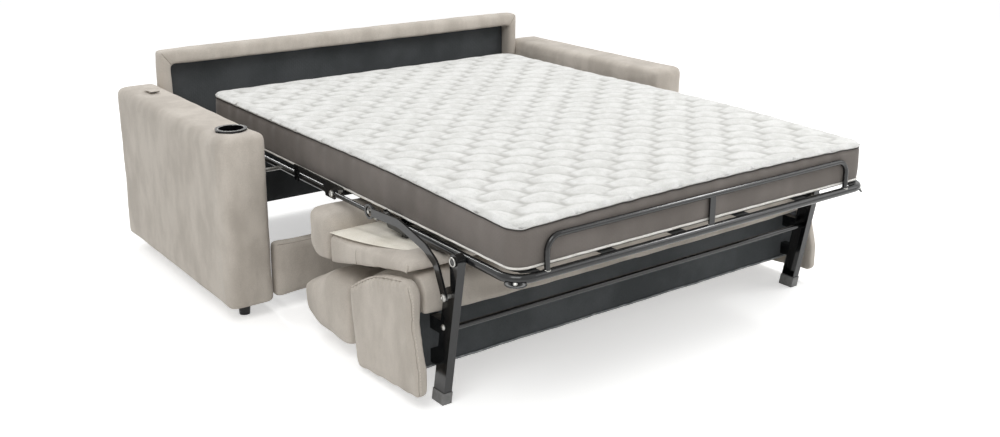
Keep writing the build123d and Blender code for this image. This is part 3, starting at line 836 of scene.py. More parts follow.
@dataclass
class Upholstery(Group):
    """A padded velvet piece that stands for one or more CAD nodes.

    Attributes:
        node: The CAD node that names it.
        body: The body that it rides on.
        voxel_mm: Cell size of its mesh before the last subdivision.
        slack_mm: How much smaller it starts, before it is stuffed.
        cap_mm: How far the stuffing may push a point.
        pressure: Pressure of the stuffing.
        wrinkle_mm: Height of its soft wrinkles.
        wrinkle_size_mm: Distance between them.
        proud_mm: How far it may stand past the box of its CAD solids.
        fill: How tight it is stuffed, from 0 to 1; not used.
        ease: How often its edges are eased before it is stuffed.
        seams: Its sewn lines.
        patterns: What it is cut from, where that isn't the node alone.
        also: Other CAD nodes that it stands for.
    """

    node: str
    body: Body
    voxel_mm: float = 8.0
    slack_mm: float = 4.0
    cap_mm: float = 8.0
    pressure: float = 4.0
    wrinkle_mm: float = 0.8
    wrinkle_size_mm: float = 110.0
    proud_mm: float = 2.0
    fill: float = 0.8
    ease: int = 4
    seams: list[Seam] = field(default_factory=list)
    patterns: tuple[Pattern, ...] = ()
    also: tuple[str, ...] = ()

    def build(self) -> None:
        """Make the stuffed piece, hang it on its body and sew it."""
        piece = self.cut()
        self.stuff(piece)
        self.finish_mesh(piece)
        hang(piece, self.finishes.velvet, Slot.VELVET, self.body, self.node, *self.also)
        for number, seam in enumerate(self.seams):
            self.sew(piece, seam, number)

    def cuttings(self) -> tuple[Pattern, ...]:
        """What the piece is cut from."""
        return self.patterns or (Pattern(self.node),)

    def soften(self, piece: Piece, times: int) -> None:
        """Ease a piece's edges by a modifier."""
        smooth = piece.modifiers.new("Ease", "SMOOTH")
        smooth.factor, smooth.iterations = 0.5, times

    def cut(self) -> Piece:
        """Copy the CAD solids as an even mesh, a little smaller than they are.

        Returns:
            The slack piece.
        """
        name = f"{self.node}_velvet"
        mesh = bmesh.new()
        for pattern in self.cuttings():
            pattern.lay(mesh)
        piece = link(name, bpy.data.meshes.new(name))
        mesh.to_mesh(piece.data)
        mesh.free()
        remesh = piece.modifiers.new("Even", "REMESH")
        remesh.mode = "VOXEL"
        remesh.voxel_size = self.voxel_mm * MM
        apply_all(piece)
        self.soften(piece, self.ease)
        apply_all(piece)
        set_coords(piece, coords(piece) - normals(piece) * self.slack_mm * MM)
        return piece

    def stuff(self, piece: Piece) -> None:
        """Swell the piece as cloth under pressure, then keep the result.

        Args:
            piece: The slack piece.
        """
        frames = 20
        start = coords(piece)
        cloth = piece.modifiers.new("Stuffing", "CLOTH")
        settings = cloth.settings
        settings.quality = 4
        settings.mass = 0.3
        settings.tension_stiffness = settings.compression_stiffness = 20
        settings.shear_stiffness = 10
        settings.bending_stiffness = 4
        settings.use_pressure = True
        settings.uniform_pressure_force = self.pressure
        settings.effector_weights.gravity = 0
        cloth.point_cache.frame_start, cloth.point_cache.frame_end = 1, frames
        scene = bpy.context.scene
        for number in range(1, frames + 1):
            scene.frame_set(number)
        swollen = coords(piece.evaluated_get(bpy.context.evaluated_depsgraph_get()))
        move = swollen - start
        length = np.linalg.norm(move, axis=1)
        limit = self.cap_mm * MM
        move *= (limit * np.tanh(length / limit) / np.maximum(length, TINY))[:, None]
        piece.modifiers.remove(cloth)
        scene.frame_set(1)
        set_coords(piece, start + move)

    def finish_mesh(self, piece: Piece) -> None:
        """Subdivide once, add wrinkles and seams, and keep the piece in the CAD solids' room.

        Args:
            piece: The stuffed piece.
        """
        last_ease = 3
        self.soften(piece, last_ease)
        detail = piece.modifiers.new("Fine", "SUBSURF")
        detail.levels = detail.render_levels = 1
        apply_all(piece)
        points, out = coords(piece), normals(piece)
        move = wobble(points, self.wrinkle_size_mm, len(self.node)) * self.wrinkle_mm * MM
        for number, seam in enumerate(self.seams):
            move += seam.relief(points, number)
        boxes = np.array([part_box(pattern.node) for pattern in self.cuttings()])
        proud = self.proud_mm * MM
        low, high = boxes[:, 0].min(axis=0) - proud, boxes[:, 1].max(axis=0) + proud
        set_coords(piece, np.clip(points + out * move[:, None], low, high))
        piece.data.shade_smooth()

    def sew(self, piece: Piece, seam: Seam, number: int) -> None:
        """Lay the pressed edge of a seam, and its stitches where they show, on the piece.

        Args:
            piece: The piece that is sewn.
            seam: The seam.
            number: Its number, for the names.
        """
        pitch_mm, cord_mm, sunk_mm = 9, 1.4, 0.6
        beside_mm, lift_mm, stitch_mm, thread_mm = 8, 0.2, 6.0, 0.7
        places, facing = laid_on(piece, dense(seam.path, pitch_mm))
        # The seam's pressed edge: a cord darkened with painted shade of the crease.
        cord = tube(f"{self.node}_seam_{number}", places - facing * sunk_mm * MM, cord_mm)
        hang(cord, self.finishes.seam, Slot.VELVET, self.body)
        if seam.topstitched:
            aside = np.cross(facing, unit(np.gradient(places, axis=0)))
            beside, facing = laid_on(piece, places + aside * beside_mm * MM)
            name = f"{self.node}_stitches_{number}"
            row = dashes(name, beside + facing * lift_mm * MM, facing, stitch_mm, thread_mm)
            hang(row, self.finishes.thread, Slot.VELVET, self.body)


# Mattress


@dataclass
class Skin:
    """The whole mattress before it is cut.

    Attributes:
        points: Points as rows of x, y, z.
        faces: Point numbers of each face.
        bands: Cloth band of each face.
        lines: Painted shade of each point, darkest in the quilting's sewn grooves.
    """

    points: np.ndarray
    faces: np.ndarray
    bands: np.ndarray
    lines: np.ndarray


@dataclass
class Mattress(Group):
    """One quilted mattress in three lengths.

    Attributes:
        cell_mm: Mesh size of the top.
        corner_mm: Radius of its upright corners.
        edge_mm: Radius of the top's rounded edge.
        crown_mm: How far the pillows stand proud of the CAD solid.
        swell_mm: How much thicker the wadding is half-way to the bend than at the bend and the foot.
        arch_mm: How far the foot end stands up between its corners.
        droop_mm: How far those corners hang.
        arch_run_mm: Length of the foot end over which both fade out.
        quilt_long_mm: Length of a quilted pillow, along one diagonal.
        quilt_wide_mm: Its width, along the other.
        quilt_mm: Depth of the quilting.
        wave_mm: How far its sewn lines wander.
        fade_mm: Width of the margin in which the quilting fades.
        uneven_mm: Height of the wadding's lumps.
        uneven_size_mm: Distance between them.
        pucker_mm: Height of the puckers along the sides.
        pucker_pitch_mm: Distances between them.
        pucker_from_mm: Height above which the sides pucker most.
        side_mm: Height of the sides, which stretch and shrink with the top.
        wall: The sides' cloths from the top down, each with its rings as (outset, height above the bottom) in
            millimetres.
    """

    cell_mm: float = 8.0
    corner_mm: float = 45.0
    edge_mm: float = 10.0
    crown_mm: float = 2.0
    swell_mm: float = 6.0
    arch_mm: float = 13.0
    droop_mm: float = 12.0
    arch_run_mm: float = 600.0
    quilt_long_mm: float = 112.0
    quilt_wide_mm: float = 84.0
    quilt_mm: float = 9.0
    wave_mm: float = 11.0
    fade_mm: float = 60.0
    uneven_mm: float = 1.5
    uneven_size_mm: float = 420.0
    pucker_mm: float = 1.9
    pucker_pitch_mm: Pair = (94.0, 61.0)
    pucker_from_mm: float = 100.0
    side_mm: float = 140.0
    wall: tuple[tuple[Band, tuple[Pair, ...]], ...] = (
        (Band.KNIT, ((1.4, 131.0), (2.0, 127.5), (0.4, 124.5))),
        # The dark band under the top's edge is painted shade of the groove there.
        (Band.SHADE_BAND, ((-2.0, 123.2), (0.0, 122.2), (0.6, 120.8), (-0.2, 119.4))),
        (Band.JERSEY, ((-2.2, 118.2), (0.6, 112.0), (2.2, 94.0), (3.2, 68.0), (2.8, 42.0), (1.4, 22.0),
                       (0.8, 14.2))),
        (Band.PALE_PIPING, ((-1.6, 13.4), (1.4, 12.4), (2.8, 9.6), (1.4, 6.8))),
        (Band.JERSEY, ((-1.6, 5.8), (-4.0, 2.4), (-14.0, 0.0))))

    def __post_init__(self) -> None:
        """Read the mattress's ends and folds from the frame."""
        self.foot, foot_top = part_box("mattress_foot")
        _, self.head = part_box("mattress_head")
        bend, middle, fold = (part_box(f"mattress_{name}") for name in ("bend", "middle", "fold"))
        self.flat_run = middle[1].y - self.foot.y
        self.head_cut = (middle[0].y + middle[1].y) / 2
        self.fold_cut = (fold[0].y + fold[1].y) / 2
        fold_half = (fold[1].y - fold[0].y) / 2
        self.bends = ((bend[1].y, bend[0].y), (fold[1].y + fold_half, self.fold_cut),
                      (self.fold_cut, foot_top.y - fold_half))

    def build(self) -> None:
        """Make the mattress, cut it into its lengths and dress them in their cloths."""
        skin = self.skin()
        whole = from_lists("mattress_whole", skin.points, skin.faces.tolist())
        out = normals(whole)
        bpy.data.objects.remove(whole)
        middles = skin.points[skin.faces, 1].mean(axis=1)
        behind, ahead = middles > self.head_cut, middles <= self.fold_cut
        lengths = (
            ("mattress_head_length", behind, Body.HEAD, Body.MIDDLE, ("mattress_head", "mattress_bend")),
            ("mattress_middle_length", ~behind & ~ahead, Body.MIDDLE, Body.FOLD,
             ("mattress_middle", "mattress_fold")),
            ("mattress_foot_length", ahead, Body.FOLD, Body.FOOT, ("mattress_foot",)))
        finishes = self.finishes
        for (name, chosen, first, second, nodes), (start, end) in zip(lengths, self.bends):
            piece = self.length(name, skin, out, chosen)
            for cloth in (finishes.knit, finishes.jersey, finishes.shade_cloth, finishes.pale_tape):
                piece.data.materials.append(cloth)
            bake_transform(piece)
            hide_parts(*nodes)
            LOG.info("%s: %d points", name, len(piece.data.vertices))

    def rows(self) -> np.ndarray:
        """Places of the mesh's rows along Y, from head to foot, with a row on each cut.

        Returns:
            The places.
        """
        marks = [self.head.y, self.head_cut, self.fold_cut, self.foot.y]
        runs = []
        for a, b in zip(marks[:-1], marks[1:]):
            count = max(2, round((a - b) / (self.cell_mm * MM)))
            runs.append(np.linspace(a, b, count, endpoint=False))
        return np.concatenate([*runs, [marks[-1]]])

    def plan(self, x: np.ndarray, y: np.ndarray) -> tuple[np.ndarray, ...]:
        """Round the plan's corners.

        Args:
            x: Places across the bed, from its middle.
            y: Places along the bed, from its middle.

        Returns:
            The rounded places, each place's distance from the edge, and the direction out of the edge.
        """
        radius = self.corner_mm * MM
        half_x, half_y = self.head.x, (self.head.y - self.foot.y) / 2
        a = np.abs(x) - (half_x - radius)
        b = np.abs(y) - (half_y - radius)
        both = (a > 0) & (b > 0)
        round_a = np.where(both, a * np.sqrt(np.maximum(0, 1 - b * b / (2 * radius ** 2))), a)
        round_b = np.where(both, b * np.sqrt(np.maximum(0, 1 - a * a / (2 * radius ** 2))), b)
        reach = np.where(both, np.hypot(round_a, round_b), np.maximum(round_a, round_b))
        out_x = np.where(both, round_a, (a >= b) * 1.0)
        out_y = np.where(both, round_b, (a < b) * 1.0)
        length = np.maximum(np.hypot(out_x, out_y), TINY)
        return (np.sign(x) * (round_a + half_x - radius), np.sign(y) * (round_b + half_y - radius),
                radius - reach, np.sign(x) * out_x / length, np.sign(y) * out_y / length)

    def quilt(self, x: np.ndarray, y: np.ndarray) -> np.ndarray:
        """Height of the quilting.

        Args:
            x: Places across the bed, from its middle.
            y: Places along the bed, from its middle.

        Returns:
            Heights from 0 in a sewn line to 1 on a pillow.
        """
        long, wide, wave = (v * MM for v in (self.quilt_long_mm, self.quilt_wide_mm, self.wave_mm))
        fullness, cross_share, cross_phase = 0.56, 0.8, 1.1
        s = (x - y) / math.sqrt(2)
        t = (-x - y) / math.sqrt(2)
        s_line = s + wave * np.sin(2 * math.pi * t / wide)
        t_line = t + cross_share * wave * np.sin(2 * math.pi * s / long + cross_phase)
        return np.abs(np.cos(math.pi * s_line / long) * np.cos(math.pi * t_line / wide)) ** fullness

    def rise(self, x: np.ndarray, y: np.ndarray) -> np.ndarray:
        """How far the top stands above a flat one: a swell up to the bend, and an arch at the foot.

        Args:
            x: Places across the bed, from its middle.
            y: Places along the bed, from its middle.

        Returns:
            Heights in metres.
        """
        fade_power, arch_power = 1.5, 2.4
        from_foot = y - y.min()
        swell = self.swell_mm * MM * np.sin(math.pi * np.clip(from_foot / self.flat_run, 0, 1)) ** 2
        near_foot = np.clip(1 - from_foot / (self.arch_run_mm * MM), 0, 1) ** fade_power
        arch = self.arch_mm * (1 - np.abs(x / self.head.x) ** arch_power) - self.droop_mm
        return swell + arch * MM * near_foot

    def skin(self) -> Skin:
        """Make the top, the sides and the bottom of the whole mattress.

        Returns:
            The whole mattress.
        """
        least_fade, groove_shade_width = 0.25, 0.28
        pucker_high, pucker_low, pucker_lift = 0.9, 0.25, 0.8
        close_share, close_phase = 0.5, 1.0
        middle_y = (self.head.y + self.foot.y) / 2
        columns = np.linspace(-self.head.x, self.head.x, round(2 * self.head.x / (self.cell_mm * MM)) + 1)
        grid_x, grid_y = np.meshgrid(columns, self.rows())
        x, y, gap, out_x, out_y = self.plan(grid_x.ravel(), grid_y.ravel() - middle_y)
        puff, rise = self.quilt(x, y), self.rise(x, y)
        edge = np.clip(1 - gap / (self.edge_mm * MM), 0, 1)
        drop = self.edge_mm * MM * (1 - np.sqrt(np.maximum(0, 1 - edge ** 2)))
        fade = np.clip(gap / (self.fade_mm * MM), least_fade, 1)
        uneven = wobble(np.stack([x, y, 0 * x], 1), self.uneven_size_mm, 5) * self.uneven_mm * MM
        sunk = self.quilt_mm * MM * (1 - puff)
        top = self.head.z + rise + self.crown_mm * MM - drop - sunk * fade + uneven * fade
        number = np.arange(grid_x.size).reshape(grid_x.shape)
        ring = np.concatenate([number[0, :-1], number[:-1, -1], number[-1, :0:-1], number[:0:-1, 0]])
        points = [np.stack([x, y + middle_y, top], 1)]
        turns = 2 * math.pi * np.arange(len(ring)) * self.cell_mm
        wide, close = self.pucker_pitch_mm
        crossed = np.sin(turns / wide) + close_share * np.sin(turns / close + close_phase)
        pucker = self.pucker_mm * MM * crossed
        stretch = 1 + rise[ring] / (self.side_mm * MM)
        for outset, height in (ring_mm for _, rings_mm in self.wall for ring_mm in rings_mm):
            upper = height > self.pucker_from_mm
            soft = pucker * (pucker_high if upper else pucker_low)
            reach = outset * MM + soft
            level = self.foot.z + stretch * height * MM + (soft * pucker_lift if upper else 0)
            points.append(np.stack([x[ring] + out_x[ring] * reach, y[ring] + out_y[ring] * reach + middle_y,
                                    level], 1))
        inner = number[1:-1, 1:-1].ravel()
        points.append(np.stack([x[inner], y[inner] + middle_y, np.full(len(inner), self.foot.z)], 1))
        whole = np.concatenate(points)
        # Painted shade in the quilting's sewn grooves, darkest in each groove and weaker towards the edge.
        lines = np.zeros(len(whole), np.float32)
        lines[:number.size] = np.exp(-(puff / groove_shade_width) ** 2) * fade
        return Skin(whole, *self.faces(number, ring, inner), lines)

    def faces(self, number: np.ndarray, ring: np.ndarray, inner: np.ndarray) -> tuple[np.ndarray, np.ndarray]:
        """Join the points of the top, sides and bottom.

        Args:
            number: Point numbers of the top's grid.
            ring: Point numbers of the top's edge, in order.
            inner: Point numbers of the top that lie inside the edge.

        Returns:
            The faces, and the cloth band of each.
        """
        top = np.stack([number[:-1, :-1], number[1:, :-1], number[1:, 1:], number[:-1, 1:]], -1)
        top = top.reshape(-1, 4)
        wall = [band.value for band, rings_mm in self.wall for _ in rings_mm]
        lower = number.size + np.arange(len(wall) * len(ring)).reshape(-1, len(ring))
        upper = np.concatenate([[ring], lower[:-1]])
        sides = np.stack([upper, np.roll(upper, -1, 1), np.roll(lower, -1, 1), lower], -1).reshape(-1, 4)
        under = np.zeros(number.size, int)
        under[inner] = number.size + lower.size + np.arange(len(inner))
        under[ring] = lower[-1]
        counts = [len(top), *[len(ring)] * len(wall), len(top)]
        bands = np.repeat([Band.KNIT.value, *wall, Band.JERSEY.value], counts)
        return np.concatenate([top, sides, under[top[:, ::-1]]]), bands.astype(np.int32)

    def length(self, name: str, skin: Skin, out: np.ndarray, chosen: np.ndarray) -> Piece:
        """Cut one length from the whole mattress and close its ends.

        Args:
            name: The piece's name.
            skin: The whole mattress.
            out: Its point normals.
            chosen: Which of its faces belong to this length.

        Returns:
            The piece, with the whole mattress's shading.
        """
        used, faces = np.unique(skin.faces[chosen], return_inverse=True)
        piece = from_lists(name, skin.points[used], faces.reshape(-1, 4).tolist())
        piece.data.polygons.foreach_set("material_index", skin.bands[chosen])
        # The points carry the painted shade of the quilting's grooves.
        shade = piece.data.attributes.new("painted_groove_shade", "FLOAT", "POINT")
        shade.data.foreach_set("value", skin.lines[used])
        mesh = bmesh.new()
        mesh.from_mesh(piece.data)
        bmesh.ops.holes_fill(mesh, edges=[e for e in mesh.edges if e.is_boundary], sides=0)
        mesh.to_mesh(piece.data)
        mesh.free()
        piece.data.normals_split_custom_set_from_vertices(out[used].tolist())
        return piece


# Linings, straps and the pull tab


@dataclass
class Linings(Group):
    """Thin cloth on the boards: charcoal on the backs, cream twill under the seat.

    Attributes:
        cell_mm: Mesh size.
        ripple_mm: Height of the ripples in the charcoal cloth.
        ripple_size_mm: Distance between them.
        tuck_mm: How far the lining of the sofa's back is tucked behind the padding round it.
        twill_past_mm: How far the twill reaches past the seat board, across the sofa.
        twill_end_mm: How far it stops short of the seat's end.
        twill_crown_mm: How far it swells.
        twill_ripple_mm: Height of its ripples.
        hem_mm: Half the height of the charcoal cloth's cut edge.
    """

    cell_mm: float = 12.0
    ripple_mm: float = 1.6
    ripple_size_mm: float = 190.0
    tuck_mm: float = 8.0
    twill_past_mm: float = 22.0
    twill_end_mm: float = 104.0
    twill_crown_mm: float = 8.0
    twill_ripple_mm: float = 0.8
    hem_mm: float = 3.2

    def build(self) -> None:
        """Stretch the three linings over their boards."""
        self.charcoal("back_panel", Body.SOFA, self.tuck_mm * MM)
        self.charcoal("back_board", Body.SEAT_BACK, 0.0)
        self.hem()
        self.twill()

    def marks(self, low: float, high: float) -> np.ndarray:
        """Even places from one end of a board to the other."""
        return np.linspace(low, high, max(2, round((high - low) / (self.cell_mm * MM)) + 1))

    def charcoal(self, node: str, body: Body, past: float) -> None:
        """Hang the charcoal lining of an upright board.

        Args:
            node: The board's CAD node.
            body: The body that it rides on.
            past: How far the lining reaches past the board's sides and top.
        """
        clear, pull, pull_run, calm_run = 0.6 * MM, 2.5 * MM, 9 * MM, 40 * MM
        least_ripple, upright_share = 0.15, 0.45
        low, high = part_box(node)
        x, z = np.meshgrid(self.marks(low.x - past, high.x + past), self.marks(low.z, high.z + past))
        flat = np.stack([x, 0 * x, z], -1)
        gap = np.minimum(np.minimum(x - low.x, high.x - x), np.minimum(z - low.z, high.z - z)) + past
        drawn = flat.reshape(-1, 3) * (1, 1, upright_share)
        ripple = wobble(drawn, self.ripple_size_mm, len(node)).reshape(x.shape) * self.ripple_mm * MM
        ripple *= np.clip(gap / calm_run, least_ripple, 1)
        flat[..., 1] = low.y + clear + ripple + pull * np.exp(-gap / pull_run)
        piece = hang(sheet(f"{node}_lining", flat), self.finishes.lining, Slot.LINING, body, node)

    def hem(self) -> None:
        """Fray the lower edge of the lining on the hanging back."""
        inset, thickness_mm, proud_mm = 6 * MM, 2.4, 0.4
        wave_mm, wave_size_mm, fray_mm, fray_size_mm = 0.8, 70, 1.3, 55
        low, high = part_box("back_board")
        x = self.marks(low.x + inset, high.x - inset)
        line = np.stack([x, np.full(len(x), low.y), np.full(len(x), low.z)], 1)
        line[:, 1] -= (proud_mm + wave_mm * wobble(line, wave_size_mm, 8)) * MM
        line[:, 2] += (self.hem_mm + fray_mm * wobble(line, fray_size_mm, 9)) * MM
        facing = np.tile([0.0, -1.0, 0.0], (len(x), 1))
        across = np.array([0, 0, self.hem_mm * MM])
        edge = ribbon("back_board_lining_hem", line, facing, across, thickness_mm)
        hang(edge, self.finishes.cut_edge, Slot.LINING, Body.SEAT_BACK)

    def twill(self) -> None:
        """Stretch the cream twill over the seat board, between the velvet edges."""
        rear_inset, sunk_mm, narrowing, ripple_size_mm = 2 * MM, 1.0, 0.07, 140
        narrow_power, side_power, end_power, swell_power = 2.5, 16, 5, 0.6
        board = bpy.data.objects["seat_board"].data
        face = max(board.polygons, key=lambda p: p.area * (p.normal.z > 0))
        low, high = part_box("seat_board")
        past = self.twill_past_mm * MM
        xs = self.marks(low.x - past, high.x + past)
        ys = self.marks(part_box("seat_cushion")[0].y + self.twill_end_mm * MM, high.y - rear_inset)
        x, y = np.meshgrid(xs, ys)
        u = np.abs(2 * (x - xs[0]) / (xs[-1] - xs[0]) - 1)
        v = (y - ys[0]) / (ys[-1] - ys[0])
        x = x * (1 - narrowing * (1 - v) ** narrow_power)
        swell = ((1 - u ** side_power) * (1 - np.abs(2 * v - 1) ** end_power)) ** swell_power
        z = face.center.z - (y - face.center.y) * face.normal.y / face.normal.z
        lift = (-sunk_mm + (sunk_mm + self.twill_crown_mm) * swell) * MM
        ripple = wobble(np.stack([x, y, 0 * x], -1).reshape(-1, 3), ripple_size_mm, 4).reshape(x.shape)
        grid = np.stack([x, y, z + lift + ripple * self.twill_ripple_mm * MM * swell], -1)
        piece = sheet("seat_board_twill", grid)
        hang(piece, self.finishes.cream, Slot.CREAM, Body.FOOT, "seat_board")


@dataclass
class Webbing(Group):
    """Elastic straps along the bed, each sewn into a loop round the tube at its ends.

    Attributes:
        thickness_mm: Thickness of the webbing.
        tube_mm: Radius of the tubes.
        tail_mm: Length of the sewn tail under the strap.
        near_mm: Where the tail leaves the tube.
    """

    thickness_mm: float = 2.6
    tube_mm: float = 12.5
    tail_mm: float = 62.0
    near_mm: float = 30.0

    def build(self) -> None:
        """Make the straps of the three sections."""
        for name, body in (("head", Body.HEAD), ("middle", Body.MIDDLE), ("foot", Body.FOOT)):
            node = f"{name}_straps"
            bands = [self.strap(low, high, body is not Body.FOOT) for low, high in islands(node)]
            straps = joined(f"{node}_webbing", bands)
            if body is Body.FOOT:
                self.follow_bend(straps)
            hang(straps, self.finishes.webbing, Slot.WEBBING, body, node)

    def strap(self, low: np.ndarray, high: np.ndarray, looped: bool) -> Piece:
        """One strap with its loops.

        Args:
            low: Lowest corner of the CAD strap, which ends over the axes of the tubes.
            high: Its highest corner.
            looped: Whether its front end goes round the tube too, or is stapled on top of it.

        Returns:
            The strap.
        """
        clear_mm, tail_gap_mm, step_mm = 0.3, 0.4, 9
        reach_mm = self.tube_mm + self.thickness_mm / 2 + clear_mm
        reach, near, tail = reach_mm * MM, self.near_mm * MM, self.tail_mm * MM
        axis_z = low[2] - self.tube_mm * MM
        top, under = axis_z + reach, axis_z + (reach_mm - self.thickness_mm - tail_gap_mm) * MM
        loop = np.radians(np.arange(-75, 91, 15))
        rear = [(high[1] + reach * math.cos(t), axis_z + reach * math.sin(t)) for t in loop]
        front = [(low[1], top)]
        if looped:
            front = [(low[1] - reach * math.cos(t), axis_z + reach * math.sin(t)) for t in loop[::-1]]
            front += [(low[1] + near, under), (low[1] + tail, under)]
        places = [(high[1] - tail, under), (high[1] - near, under), *rear, *front]
        x = (low[0] + high[0]) / 2
        line = dense([(x, y, min(z, top)) for y, z in places], step_mm)
        return lengthwise("strap", line, (high[0] - low[0]) / 2, self.thickness_mm)

    def follow_bend(self, straps: Piece) -> None:
        """Draw the outer straps' front ends back, where the foot tube bends towards the sides.

        Args:
            straps: The straps of the foot section.
        """
        straight, fade, most = 30 * MM, 120 * MM, 0.9
        low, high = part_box("foot_end_tube")
        radius = high.y - low.y - self.tube_mm * MM
        start = high.x - self.tube_mm * MM - radius
        points = coords(straps)
        past = np.clip(np.abs(points[:, 0]) - start, 0, radius * most)
        near = np.clip(1 - (points[:, 1] - low.y - straight) / fade, 0, 1)
        points[:, 1] += (radius - np.sqrt(radius ** 2 - past ** 2)) * near
        set_coords(straps, points)


@dataclass
class PullTab(Group):
    """A folded velvet tab on the left arm, sewn down at its rear and open at its front.

    Attributes:
        thickness_mm: Thickness of the velvet.
        rear_mm: The tab's line from its sewn end, as (distance ahead of it, height).
        front_mm: The line round its fold, as (distance behind the fold, height).
        mouth_mm: Radius of the shadow line in its open end.
    """

    thickness_mm: float = 1.8
    rear_mm: tuple[Pair, ...] = ((0, -1.4), (8, 0.8))
    front_mm: tuple[Pair, ...] = ((34, 2.6), (12, 4.8), (3, 5.0), (0, 3.8), (3, 2.6), (18, 1.2))
    mouth_mm: float = 1.5

    def build(self) -> None:
        """Fold the tab, sew it down and paint the shadow in its open end."""
        step_mm, mouth_z, mouth_share, mouth_marks = 3, 1.2 * MM, 0.92, 9
        low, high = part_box("arm_pull_tab")
        x, half = (low.x + high.x) / 2, (high.x - low.x) / 2
        fold = [(x, high.y - y * MM, low.z + z * MM) for y, z in self.rear_mm]
        fold += [(x, low.y + y * MM, low.z + z * MM) for y, z in self.front_mm]
        tab = lengthwise("arm_pull_tab_velvet", dense(fold, step_mm), half, self.thickness_mm)
        hang(tab, self.finishes.velvet, Slot.VELVET, Body.SOFA, "arm_pull_tab")
        # Painted shadow: a dark cord in the tab's open end, under the fold.
        y, z = low.y + self.mouth_mm * MM, low.z + mouth_z
        mouth = np.array([(x + t * half * mouth_share, y, z) for t in np.linspace(-1, 1, mouth_marks)])
        mouth_shadow = tube("arm_pull_tab_mouth_shadow", mouth, self.mouth_mm)
        hang(mouth_shadow, self.finishes.shade_cloth, Slot.VELVET, Body.SOFA)


# Rigid pieces


@dataclass
class FoldingFrame(Group):
    """The steel frame, its fasteners and the hard trim of the sofa, which keep their CAD shape.

    Attributes:
        enamel: Nodes of enamelled steel.
        zinc: Zinc-plated nodes.
        black: Nodes of black plastic.
        grey: Nodes of grey plastic.
    """

    enamel: tuple[str, ...] = (
        "rear_links", "front_links", "middle_side_tubes", "middle_cross_tubes", "middle_side_plates",
        "head_hinge_plates", "head_side_tubes", "head_cross_tubes", "head_hinge_arms", "fold_links",
        "foot_side_tubes", "foot_end_tube", "foot_cross_tube", "foot_hinge_plates", "foot_rail",
        "foot_rail_posts", "foot_rail_strut", "legs", "leg_cross_tube", "levers", "base_plates",
        "back_brackets", "seat_brackets")
    zinc: tuple[str, ...] = (
        "base_pivot_pins", "head_hinge_pins", "link_pins", "fold_pins", "crank_pins", "foot_hinge_pins",
        "leg_pivot_pins", "lever_pins")
    black: tuple[str, ...] = ("cup_holder", "arm_feet")
    grey: tuple[str, ...] = ("leg_caps",)

    def build(self) -> None:
        """Paint the CAD nodes."""
        finishes = self.finishes
        groups = ((self.enamel, finishes.enamel), (self.zinc, finishes.zinc),
                  (self.black, finishes.black_abs), (self.grey, finishes.grey_abs))
        for nodes, material in groups:
            for node in nodes:
                slots = bpy.data.objects[node].data.materials
                slots.clear()
                slots.append(material)


